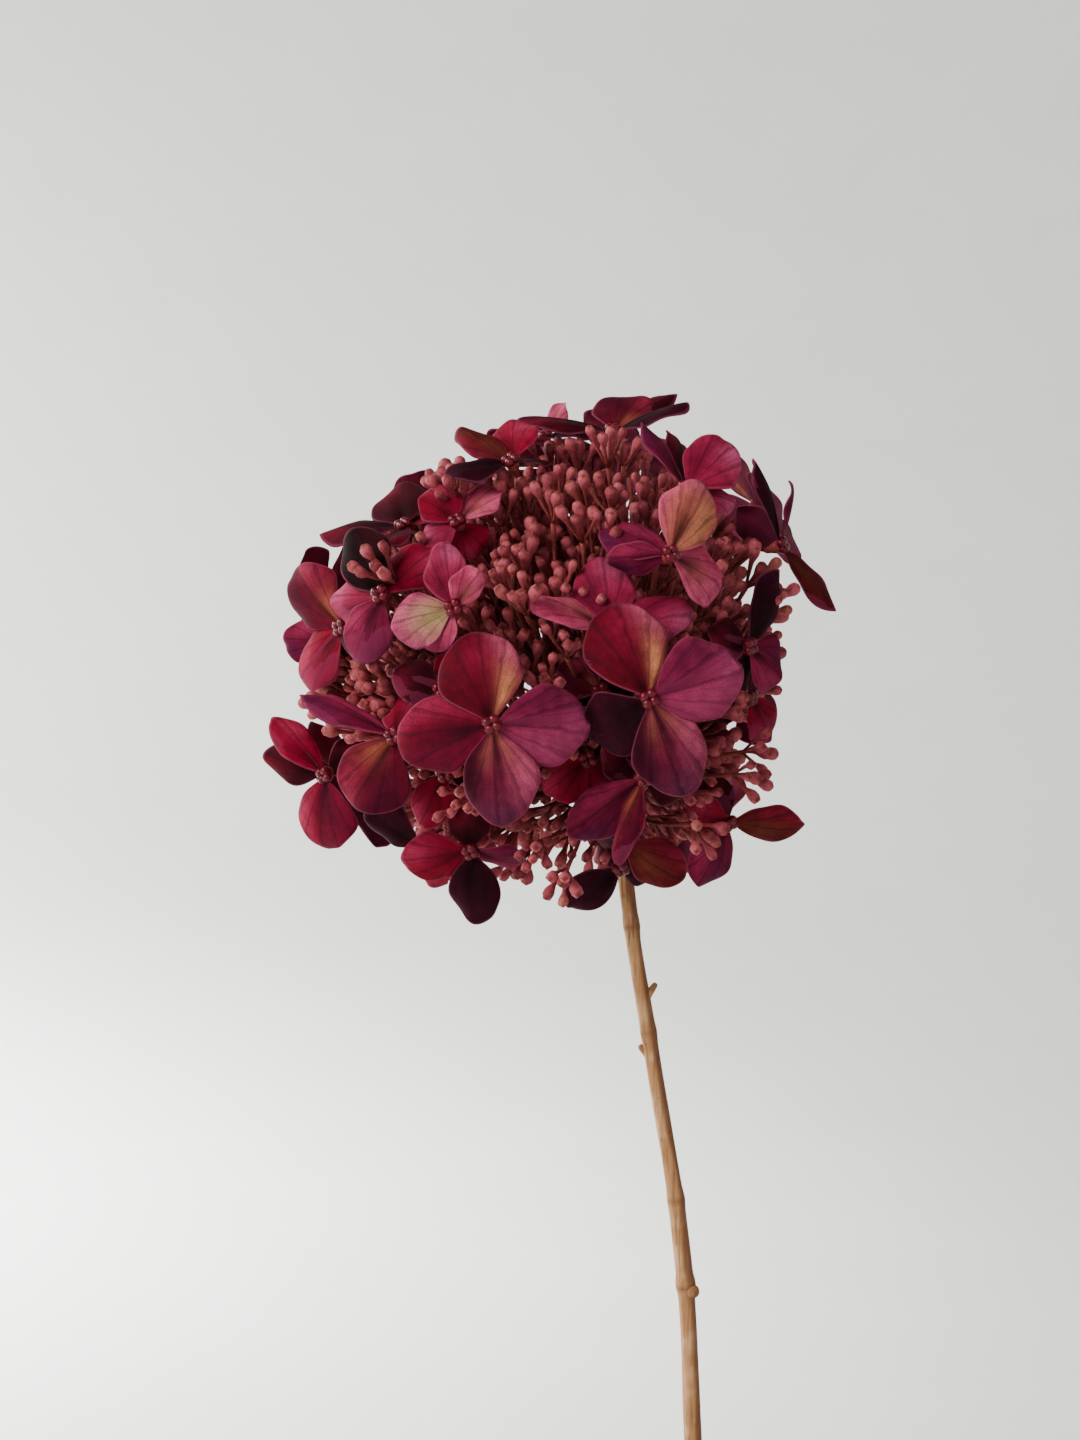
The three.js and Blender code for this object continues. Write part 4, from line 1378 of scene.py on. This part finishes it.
@dataclass
class Spray:
    """One branch of the head: a ray from the hub that forks to bud clusters and to the florets' stalks."""

    name: str
    direction: Vector
    reach: float
    clusters: list[Cluster] = field(default_factory=list)
    florets: list[Floret] = field(default_factory=list)
    fork_share: float = 0.42
    limb_share: float = 0.7
    clusters_of_limb: int = 4
    ray_radius: float = 1.15
    limb_radius: float = 0.85
    twig_radius: float = 0.6
    pedicel_radius: float = 0.75
    stalk_radius: float = 0.48
    ray_bury: float = 1.0
    low_root_share: float = 0.25
    ray_swell: float = 1.25
    twig_swell: float = 1.3
    pedicel_swell: float = 1.15
    pedicel_overlap: float = 0.4
    pedicel_bend: float = 6.0
    rod_bow: float = 0.11
    rod_steps: int = 6
    rod_sides: int = 7
    rod_tone: float = 0.6
    umbel: float = 5.2
    umbel_low: float = 0.75
    umbel_span: float = 0.5
    rise_low: float = 0.35
    rise_span: float = 4.5
    bud_radius: float = 1.55
    bud_length: float = 6.0
    bud_low: float = 0.82
    bud_span: float = 0.36
    bud_gap: float = 0.3
    bud_lean: float = 2.0
    bud_tries: int = 3
    bud_retreat: float = 2.5
    # A bud's shares of its length, its shares of its radius and how ripe it is there.
    bud_profile: tuple[tuple[float, float, float], ...] = (
        (0.2, 0.42, 0.75),
        (0.42, 0.74, 0.9),
        (0.64, 1.0, 1.0),
        (0.8, 0.96, 1.0),
        (0.91, 0.7, 0.95),
    )
    bud_crown: float = 0.3
    # The crown is made barely ripe, so it turns dark brown: painted shade in the dimple of its crown.
    crown_shade_ripe: float = 0.35
    # The same of its stalk, as shares of the stalk's radius.
    stalk_profile: tuple[tuple[float, float], ...] = ((1.0, 0.45), (0.85, 0.55), (1.15, 0.7))
    stalk_sag: float = 0.4
    rib_depth: float = 0.07
    crown_rib_depth: float = 0.24
    bud_sides: int = 8

    def build(self, head: Head, materials: Sequence[bpy.types.Material]) -> bpy.types.Object:
        """Makes the spray's piece.

        Args:
            head: The head that it belongs to, which knows where the sepals are.
            materials: The buds'.

        Returns:
            The piece.
        """
        mesh = stalk_mesh()
        start = HUB + self.direction * (KNOB_RADIUS - self.ray_bury)
        fork = HUB + self.direction * (self.reach * self.fork_share)
        low_root = HUB + self.direction * (self.reach * self.low_root_share)
        self.rod(mesh, [start, fork], self.ray_radius, RAY_RIPE, self.ray_swell)
        limbs = []
        for group in self.groups():
            mean = sum((cluster.fork for cluster in group), Vector()) / len(group)
            limb = HUB + (mean - HUB) * self.limb_share
            if head.is_clear(fork, limb, self.limb_radius):
                self.rod(mesh, [fork, limb], self.limb_radius, LIMB_RIPE, self.ray_swell)
            else:
                limb = fork
            limbs.append(limb)
            for cluster in group:
                root = head.root_for(cluster.fork, (limb, fork, low_root), self.twig_radius)
                if root is None:
                    continue
                part = stalk_mesh()
                self.rod(part, [root, cluster.fork], self.twig_radius, TWIG_RIPE, self.twig_swell)
                self.buds(part, cluster, head)
                merge(mesh, part)
        for floret in self.florets:
            end = floret.middle - floret.normal * (floret.length - self.pedicel_overlap)
            bend = end - floret.normal * self.pedicel_bend
            root = head.root_for(bend, limbs, self.pedicel_radius)
            places = [fork if root is None else root, bend, end]
            self.rod(mesh, places, self.pedicel_radius, PEDICEL_RIPE, self.pedicel_swell)
        return finished(mesh, self.name, materials)

    def groups(self) -> list[list[Cluster]]:
        """Splits the clusters among the limbs, by their turn about the spray's axis.

        Returns:
            The clusters of each limb.
        """
        side = self.direction.orthogonal().normalized()
        other = self.direction.cross(side)

        def turn(cluster: Cluster) -> float:
            """A cluster's turn about the axis, in radians."""
            offset = cluster.fork - HUB
            return math.atan2(offset.dot(other), offset.dot(side))

        ordered = sorted(self.clusters, key=turn)
        size = self.clusters_of_limb
        return [ordered[start : start + size] for start in range(0, len(ordered), size)]

    def rod(
        self,
        mesh: bmesh.types.BMesh,
        places: Sequence[Vector],
        radius: float,
        ripeness: tuple[float, float],
        swell: float,
    ) -> None:
        """Adds a slightly crooked stalk that swells where it forks.

        Args:
            mesh: Where it is built.
            places: What it passes through.
            radius: Its radius.
            ripeness: The attribute ripe at its root and at its end.
            swell: How much thicker its two ends are.
        """
        length = (places[-1] - places[0]).length
        if length < 1e-3:
            return
        if len(places) == 2:
            seed = int(abs(places[1].x * 7 + places[1].y * 13 + places[1].z * 3))
            side = (places[1] - places[0]).orthogonal().normalized()
            bow = side * (length * self.rod_bow * (chance(seed, 3) - 0.5) * 2)
            places = [places[0], (places[0] + places[1]) / 2 + bow, places[1]]
        steps = self.rod_steps
        radii = [radius * (1 + (swell - 1) * abs(2 * index / steps - 1) ** 4) for index in range(steps + 1)]
        rings = sweep(mesh, spline(places, steps), radii, self.rod_sides)
        ripe, tone = mesh.verts.layers.float["ripe"], mesh.verts.layers.float["tone"]
        low, high = ripeness
        for index, ring in enumerate(rings):
            for corner in ring:
                corner[ripe] = low + (high - low) * index / steps
                corner[tone] = self.rod_tone

    def buds(self, mesh: bmesh.types.BMesh, cluster: Cluster, head: Head) -> None:
        """Adds a cluster's buds, each on its own short stalk.

        Args:
            mesh: Where they are built.
            cluster: The cluster.
            head: The head, which knows where the sepals are.
        """
        side = cluster.outward.orthogonal().normalized()
        for bud in range(cluster.buds):
            draw = chance(cluster.index, bud)
            ring = 0.0 if bud == 0 else self.umbel * (self.umbel_low + self.umbel_span * draw)
            spoke = side.copy()
            spoke.rotate(Quaternion(cluster.outward, bud * math.tau / max(cluster.buds - 1, 1) + draw))
            rise = (chance(cluster.index, bud + 20) - self.rise_low) * self.rise_span
            tip = cluster.middle + spoke * ring + cluster.outward * rise
            size = self.bud_low + self.bud_span * chance(cluster.index, bud + 40)
            for _ in range(self.bud_tries):
                if head.has_room(tip, self.bud_radius * size + self.bud_gap):
                    axis = (tip - cluster.fork + cluster.outward * self.bud_lean).normalized()
                    self.bud(mesh, cluster.fork, tip, axis, size, chance(cluster.index, bud + 80))
                    break
                tip -= cluster.outward * self.bud_retreat

    def bud(
        self, mesh: bmesh.types.BMesh, fork: Vector, tip: Vector, axis: Vector, size: float, tone: float
    ) -> None:
        """Adds a bud: a stalk that widens to a ribbed head with a small crown.

        Args:
            mesh: Where it is built.
            fork: What its stalk leaves.
            tip: The crown's place.
            axis: Which way the bud points.
            size: Its size, as a share of the usual one.
            tone: Its colour, from 0 to 1.
        """
        length, radius = self.bud_length * size, self.bud_radius * size
        neck = tip - axis * length
        line = spline([fork, (fork + neck) / 2 - axis * self.stalk_sag, neck], len(self.stalk_profile) - 1)
        line += [neck + axis * (length * run) for run, _, _ in self.bud_profile]
        line.append(tip)
        radii = [self.stalk_radius * width for width, _ in self.stalk_profile]
        radii += [radius * width for _, width, _ in self.bud_profile]
        radii.append(radius * self.bud_crown)
        levels = [level for _, level in self.stalk_profile]
        levels += [level for _, _, level in self.bud_profile]
        levels.append(self.crown_shade_ripe)
        stalk, crown = len(self.stalk_profile), len(line) - 2

        def ribbed(index: int, angle: float) -> float:
            """How the four ribs of the head, which are deepest under its crown, scale the radius."""
            depth = self.crown_rib_depth if index == crown else self.rib_depth if index > stalk else 0.0
            return 1 + depth * math.cos(4 * angle)

        rings = sweep(mesh, line, radii, self.bud_sides, ribbed)
        ripe, shade = mesh.verts.layers.float["ripe"], mesh.verts.layers.float["tone"]
        for level, ring in zip(levels, rings):
            for corner in ring:
                corner[ripe], corner[shade] = level, tone


@dataclass
class Head:
    """The flower head: its florets, and the sprays that carry them and the buds between them."""

    florets: list[Floret]
    sprays: list[Spray]
    sepals: BVHTree
    stem: Stem

    @classmethod
    def grown(cls, stem: Stem) -> Head:
        """Lays out the florets and hangs everything on the sprays.

        Args:
            stem: The stem under it.

        Returns:
            The head.
        """
        florets = []
        for make, plans in ((Floret.front, FRONT_FLORETS), (Floret.back, BACK_FLORETS)):
            for index, plan in enumerate(plans):
                florets.append(make(f"hydrangea_floret_{len(florets) + 1:02d}", plan, index))
        sprays = []
        for index, direction in enumerate(even_directions(SPRAY_COUNT, SPRAY_LOWEST, SPRAY_TURN)):
            axis = DOME_MIDDLE + direction * DOME_RADII - HUB
            sprays.append(Spray(f"bud_spray_{index + 1:02d}", axis.normalized(), axis.length))
        head = cls(florets, sprays, sepal_tree(florets), stem)
        for floret in florets:
            head.spray_of(floret.middle - floret.normal * floret.length).florets.append(floret)
        for cluster in head.clusters():
            head.spray_of(cluster.middle).clusters.append(cluster)
        return head

    def spray_of(self, place: Vector) -> Spray:
        """The spray whose share of the head holds a place."""
        return max(self.sprays, key=lambda spray: spray.direction.dot(place - HUB))

    def has_room(self, place: Vector, gap: float) -> bool:
        """Whether a bud or a stalk has room at a place.

        Args:
            place: The place.
            gap: How far it keeps from every sepal.

        Returns:
            True if it keeps clear of the sepals, and of the stem where it lies below the hub.
        """
        if self.sepals.find_nearest(place, gap)[0] is not None:
            return False
        return place.z > HUB.z or (place - self.stem.middle(place.z)).length > STEM_CLEARANCE

    def is_clear(self, start: Vector, end: Vector, gap: float) -> bool:
        """Whether a straight stalk between two places keeps its distance."""
        steps = max(math.ceil((end - start).length / PROBE_STEP), 1)
        return all(self.has_room(start.lerp(end, step / steps), gap) for step in range(1, steps + 1))

    def root_for(self, end: Vector, roots: Sequence[Vector], gap: float) -> Vector | None:
        """The first of some places from which a straight stalk reaches its end, or None."""
        return next((root for root in roots if self.is_clear(root, end, gap)), None)

    def clusters(self) -> list[Cluster]:
        """Spreads the bud clusters over the dome and inside it, and adds those that stand out in front.

        Returns:
            The clusters.
        """
        found = []
        for index, direction in enumerate(even_directions(CLUSTER_COUNT, CLUSTER_LOWEST, CLUSTER_TURN)):
            sunk = max(smooth(*HOLLOW_EDGE, direction.dot(hollow)) for hollow in HOLLOWS)
            sink = SINK_LOW + SINK_SPAN * chance(index, 7) ** SINK_POWER + HOLLOW_SINK * sunk
            surface = DOME_MIDDLE + direction * DOME_RADII
            inward = (HUB - surface).normalized()
            drift = Vector((chance(index, 11), chance(index, 12), chance(index, 13))) * (2 * DRIFT)
            middle = surface + inward * sink + (drift - Vector((DRIFT, DRIFT, DRIFT)))
            outward = (direction + UP * (UPTURN * smooth(-0.6, 0.2, direction.z))).normalized()
            buds = FEWEST_BUDS + int(MORE_BUDS * chance(index, 9))
            found.append(self.cluster(middle, outward, buds, index))
        for index, direction in enumerate(even_directions(INNER_COUNT, CLUSTER_LOWEST, INNER_TURN)):
            middle = DOME_MIDDLE + direction * DOME_RADII * INNER_SHARE
            outward = (direction + UP * INNER_UPTURN).normalized()
            found.append(self.cluster(middle, outward, INNER_BUDS, INNER_INDEX + index))
        for index, (place, elevation, buds) in enumerate(LEAD_CLUSTERS):
            middle = Vector(place)
            outward = (middle - DOME_MIDDLE).normalized()
            outward = (outward + facing(0, elevation) * LEAD_LEAN).normalized()
            found.append(self.cluster(middle, outward, buds, LEAD_INDEX + index))
        return found

    def cluster(self, middle: Vector, outward: Vector, buds: int, index: int) -> Cluster:
        """A cluster whose fork lies below its buds, towards the hub.

        Args:
            middle: The place that its buds gather round.
            outward: Which way it points.
            buds: How many it has.
            index: What sets its draws apart.

        Returns:
            The cluster.
        """
        inward = (HUB - middle).normalized()
        down = (inward - outward * FORK_LEAN).normalized()
        fork = middle + down * CLUSTER_DEPTH * (DEPTH_LOW + DEPTH_SPAN * chance(index, 15))
        return Cluster(fork, middle, outward, buds, index)


def sepal_tree(florets: Sequence[Floret]) -> BVHTree:
    """Gathers coarse copies of the sepals, so that buds and stalks can keep clear of them.

    Args:
        florets: The florets whose sepals are copied.

    Returns:
        A tree that finds the nearest place of any sepal.
    """
    places, quads = [], []
    row_length = TREE_CELLS + 1
    for sepal in (sepal for floret in florets for sepal in floret.sepals):
        first = len(places)
        for row in range(row_length):
            for column in range(row_length):
                spot = disc_place(column / TREE_CELLS * 2 - 1, row / TREE_CELLS * 2 - 1)
                places.append(sepal.place(*spot)[0])
        for row in range(TREE_CELLS):
            for column in range(TREE_CELLS):
                corner = first + row * row_length + column
                quads.append((corner, corner + 1, corner + row_length + 1, corner + row_length))
    return BVHTree.FromPolygons(places, quads)


# ---- stem and vase

# Which side of the stem its dark band of painted shade runs down, away from the key lamp: 0 is the viewer's
# right, -90 degrees faces the viewer.
SHADE_BAND_BEARING = math.radians(-32)


@dataclass(frozen=True)
class Stub:
    """What is left of a side shoot: a short rod that stands out of the bark.

    Its bearing is counted from the viewer's right, in degrees, and -90 faces the viewer. reach is how far it
    stands out, rise how far its end lies above its root, and root and tip are its radii.
    """

    height: float
    bearing: float
    reach: float
    rise: float
    root: float
    tip: float


@dataclass
class Stem:
    """The woody stem: crooked, ribbed and swollen at its leaf scars, with the stubs of side shoots.

    Its line is a list of X, height and radius, and its scars are a list of height and bulge.
    """

    name: str = "stem_bark"
    line: tuple[tuple[float, float, float], ...] = (
        (1.7, 6.5, 2.7),
        (-1.7, 85, 2.7),
        (-4.8, 160, 2.65),
        (-5.5, 178.6, 2.6),
        (-6.8, 209.6, 2.4),
        (-7.6, 222, 2.5),
        (-10.6, 248, 2.35),
        (-12.9, 262.4, 2.25),
        (-17.1, 287, 2.25),
        (-20.6, 308.5, 2.2),
        (-22.9, 322.1, 2.2),
        (-25.3, 342.4, 2.3),
        (-30.2, 364.7, 3.1),
    )
    scars: tuple[tuple[float, float], ...] = ((223.2, 0.55), (247.9, 0.3), (296.3, 0.25), (327.4, 0.35))
    scar_half_height: float = 2.2
    scar_sharpness: float = 2.2
    scar_drop: float = 0.5
    stubs: tuple[Stub, ...] = (
        Stub(221.2, -45, 1.5, 0.6, 2.2, 1.6),
        Stub(305, 0, 1.5, 5.5, 1.3, 0.8),
        Stub(287.5, 180, 1.7, 5, 1.1, 0.9),
    )
    stub_steps: int = 5
    stub_sides: int = 12
    stub_round: float = 0.75
    stub_dark: float = 0.9
    lump: float = 0.07
    lump_width: float = 1.3
    lump_run: float = 16.0
    # The depth and number of two sets of ribs, and how they twist with height.
    ribs: tuple[tuple[float, int, float], ...] = ((0.03, 5, 0.02), (0.02, 9, -0.05))
    shade_band_sway: float = 0.9
    shade_band_run: float = 22.0
    shade_band_edge: tuple[float, float] = (0.45, 0.95)
    knob_lump: float = 0.12
    knob_lump_turns: float = 0.35
    # The knob at the hub, under the head, is painted dark: painted shade where the head covers it.
    knob_shade: float = 0.6
    ring_step: float = 1.8
    sides: int = 24

    def at(self, height: float) -> tuple[float, float]:
        """Measures the stem at a height.

        Args:
            height: The height.

        Returns:
            Its middle's X and its radius.
        """
        for (x0, z0, r0), (x1, z1, r1) in zip(self.line, self.line[1:]):
            if height <= z1:
                share = (height - z0) / (z1 - z0)
                return x0 + (x1 - x0) * share, r0 + (r1 - r0) * share
        return self.line[-1][0], self.line[-1][2]

    def middle(self, height: float) -> Vector:
        """Its middle at a height."""
        return Vector((self.at(height)[0], 0, height))

    def scarred(self, height: float) -> tuple[float, float]:
        """Measures the scars at a height.

        Args:
            height: The height.

        Returns:
            How far they swell the stem, and how dark they are.
        """
        swell, dark = 0.0, 0.0
        for place, bulge in self.scars:
            offset = (height - place) / self.scar_half_height
            swell += bulge * math.exp(-offset * offset)
            dark += math.exp(-((offset * self.scar_sharpness + self.scar_drop) ** 2))
        return swell, dark

    def build(self, materials: Sequence[bpy.types.Material]) -> bpy.types.Object:
        """Makes the stem's piece.

        Args:
            materials: The bark.

        Returns:
            The piece.
        """
        mesh = bmesh.new()
        scar, shade_band = mesh.verts.layers.float.new("scar"), mesh.verts.layers.float.new("shade_band")
        foot, top = self.line[0][1], self.line[-1][1]
        steps = round((top - foot) / self.ring_step)
        heights = [foot + (top - foot) * step / steps for step in range(steps + 1)]

        def uneven(index: int, angle: float) -> float:
            """How lumps and ribs scale the radius."""
            height, width = heights[index], self.lump_width
            around = Vector((math.cos(angle) * width, math.sin(angle) * width, height / self.lump_run))
            rib = sum(depth * math.sin(count * angle + height * twist) for depth, count, twist in self.ribs)
            return 1 + self.lump * noise.noise(around) + rib

        radii = [self.at(height)[1] + self.scarred(height)[0] for height in heights]
        rings = sweep(mesh, [self.middle(height) for height in heights], radii, self.sides, uneven)
        # A band of painted shade sways down the side that faces away from the key lamp.
        for height, ring in zip(heights, rings):
            sway = noise.noise(Vector((height / self.shade_band_run, 0, 0)))
            turn = SHADE_BAND_BEARING + self.shade_band_sway * sway
            for corner in ring:
                offset = corner.co - self.middle(height)
                corner[scar] = min(self.scarred(height)[1], 1.0)
                corner[shade_band] = smooth(*self.shade_band_edge, math.cos(math.atan2(offset.y, offset.x) - turn))
        for stub in self.stubs:
            self.add_stub(mesh, stub, scar)
        knob = bmesh.ops.create_icosphere(mesh, subdivisions=4, radius=KNOB_RADIUS)["verts"]
        for corner in knob:
            lump = noise.noise(corner.co * self.knob_lump_turns)
            corner.co = HUB + corner.co * (1 + self.knob_lump * lump)
            corner[scar] = self.knob_shade
        return finished(mesh, self.name, materials)

    def add_stub(self, mesh: bmesh.types.BMesh, stub: Stub, scar: bmesh.types.BMLayerItem) -> None:
        """Adds a side shoot's stub, whose outer half is as dark as a scar.

        Args:
            mesh: The stem's mesh.
            stub: The stub.
            scar: The mesh's layer of that name.
        """
        start = self.middle(stub.height)
        radius = self.at(stub.height)[1]
        outward = Quaternion(UP, math.radians(stub.bearing)) @ Vector((1, 0, 0))
        end = start + outward * (radius + stub.reach) + UP * stub.rise
        steps = self.stub_steps
        line = spline([start, start.lerp(end, 0.6), end], steps)
        widths = [stub.root + (stub.tip - stub.root) * step / steps for step in range(steps + 1)]
        widths[-1] *= self.stub_round
        for ring in sweep(mesh, line, widths, self.stub_sides)[steps // 2 + 1 :]:
            for corner in ring:
                corner[scar] = self.stub_dark


@dataclass
class Vase:
    """A plain thrown bottle with a rolled rim, hollow, with a narrow bore that holds the stem upright."""

    name: str = "vase_body"
    foot_radius: float = 31.0
    foot_margin: float = 4.0
    flank: tuple[tuple[float, float], ...] = (
        (32.5, 1.5),
        (45, 54),
        (25, 117),
        (13.6, 136),
        (11.8, 146),
        (11.8, 159),
    )
    bore_radius: float = 7.8
    wall: float = 4.0
    rim_height: float = 165.0
    rim_roll: float = 3.0
    rim_start: float = -27.0
    rim_steps: int = 16
    floor: float = 6.0
    flank_steps: int = 60
    turns: int = 128

    def outline(self) -> list[tuple[float, float]]:
        """Draws its section.

        Returns:
            Places as (radius, height), from the middle of its foot up the outside and down the inside.
        """
        flank = spline([Vector((radius, 0, height)) for radius, height in self.flank], self.flank_steps)
        outside, inside = [], []
        for index, place in enumerate(flank):
            before, after = flank[max(index - 1, 0)], flank[min(index + 1, len(flank) - 1)]
            along = (after - before).normalized()
            outside.append((place.x, place.z))
            inner = (place.x - along.z * self.wall, place.z + along.x * self.wall)
            if inner[1] > self.floor + self.wall:
                inside.insert(0, inner)
        roll = (self.wall + self.rim_roll) / 2
        middle = self.rim_height - self.rim_roll
        rim = []
        for step in range(self.rim_steps + 1):
            angle = math.radians(self.rim_start + (180 - self.rim_start) * step / self.rim_steps)
            radius = self.bore_radius + roll + math.cos(angle) * roll
            rim.append((radius, middle + math.sin(angle) * self.rim_roll))
        foot = [(0.0, 0.0), (self.foot_radius - self.foot_margin, 0.0), (self.foot_radius, 0.0)]
        floor = [(inside[-1][0] - self.wall, self.floor), (0.0, self.floor)]
        return foot + outside + rim + inside + floor

    def build(self, materials: Sequence[bpy.types.Material]) -> bpy.types.Object:
        """Makes the vase's piece.

        Args:
            materials: The glaze.

        Returns:
            The piece.
        """
        mesh = bmesh.new()
        lathe(mesh, self.outline(), self.turns)
        return finished(mesh, self.name, materials)


# ---- studio


@dataclass(frozen=True)
class Lamp:
    """A soft square light, or a soft-edged spot where it has a cone, in degrees, unseen by the camera."""

    name: str
    place: tuple[float, float, float]
    target: tuple[float, float, float]
    size: float
    watts: float
    colour: str
    cone: float = 0.0

    def build(self) -> None:
        """Adds it to the scene."""
        light = bpy.data.lights.new(self.name, "SPOT" if self.cone else "AREA")
        if self.cone:
            light.spot_size = math.radians(self.cone)
            light.spot_blend = 1.0
            light.shadow_soft_size = self.size / 2
        else:
            light.size = self.size
        light.energy = self.watts
        light.color = linear(self.colour)[:3]
        lamp = bpy.data.objects.new(self.name, light)
        lamp.location = self.place
        aim = Vector(self.target) - Vector(self.place)
        lamp.rotation_euler = aim.to_track_quat("-Z", "Y").to_euler()
        lamp.visible_camera = False
        bpy.context.scene.collection.objects.link(lamp)


LAMPS = (
    Lamp("key", (-1.6, -1.2, 1.5), (-0.05, 0, 0.38), 1.1, 78, "#FFFFFF"),
    Lamp("fill", (1.4, -1.6, 0.9), (-0.05, 0, 0.38), 1.6, 9, "#F4F6FF"),
    Lamp("wall", (-2.1, 1.3, 1.5), (-1.2, 2.3, 0.1), 1.0, 165, "#FFFFFF"),
    Lamp("floor", (-1.6, 0.8, 1.4), (-1.15, 0.9, 0.0), 0.8, 1250, "#FFFFFF", 78),
)


@dataclass(frozen=True)
class Studio:
    """The photograph's surroundings: a wide pale bowl of floor and wall, the lamps and the camera."""

    floor_radius: float = 1200.0
    fillet: float = 2600.0
    fillet_steps: int = 32
    wall_top: float = 5400.0
    turns: int = 96
    air: str = "#F2F4F6"
    air_strength: float = 0.2
    lens_mm: float = 53.45
    sensor_mm: float = 36.0
    eye: tuple[float, float, float] = (-0.050, -0.620, 0.3868)

    def build_backdrop(self) -> None:
        """Spins the floor and the wall as one wide bowl round the vase."""
        outline = [(0.0, 0.0), (self.floor_radius, 0.0)]
        for step in range(1, self.fillet_steps + 1):
            angle = math.pi / 2 * step / self.fillet_steps
            radius = self.floor_radius + self.fillet * math.sin(angle)
            outline.append((radius, self.fillet * (1 - math.cos(angle))))
        outline.append((self.floor_radius + self.fillet, self.wall_top))
        mesh = bmesh.new()
        lathe(mesh, outline, self.turns)
        backdrop = finished(mesh, "backdrop", [StudioPaint("studio_paint", 0.9, 0.1).material()])

    def build_camera(self) -> None:
        """Adds the photograph's camera, which is level and looks along +Y."""
        lens = bpy.data.cameras.new("viewer")
        lens.lens = self.lens_mm
        lens.sensor_width = self.sensor_mm
        camera = bpy.data.objects.new("viewer", lens)
        camera.location = self.eye
        camera.rotation_euler = (math.radians(90), 0, 0)
        bpy.context.scene.collection.objects.link(camera)
        bpy.context.scene.camera = camera

    def build(self) -> None:
        """Adds the backdrop, the lamps, the faint light of the air and the camera."""
        self.build_backdrop()
        for lamp in LAMPS:
            lamp.build()
        world = bpy.data.worlds.new("studio_air")
        world.use_nodes = True
        background = world.node_tree.nodes["Background"]
        background.inputs["Color"].default_value = linear(self.air)
        background.inputs["Strength"].default_value = self.air_strength
        bpy.context.scene.world = world
        self.build_camera()


# ---- scene


def main() -> None:
    """Builds the hydrangea, its vase and the studio."""
    logging.basicConfig(level=logging.INFO, format="%(name)s: %(message)s")
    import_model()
    Studio().build()

    sepal = DyedSepal("dyed_sepal", 0.78, 0.05).material()
    bead = BeadLacquer("bead_lacquer", 0.28, 0.22).material()
    bud = BudSkin("bud_skin", 0.74, 0.2).material()
    stem, vase = Stem(), Vase()
    head = Head.grown(stem)
    fit(vase.build([StonewareGlaze("stoneware_glaze", 0.42).material()]), "vase")
    fit(stem.build([StemBark("stem_bark", 0.8, 0.3).material()]), "stem")
    for index, floret in enumerate(head.florets):
        fit(floret.build([sepal, bead, bud]), f"floret_{index + 1:02d}")
    for index, spray in enumerate(head.sprays):
        fit(spray.build(head, [bud]), f"spray_{index + 1:02d}")


if __name__ == "__main__":
    main()
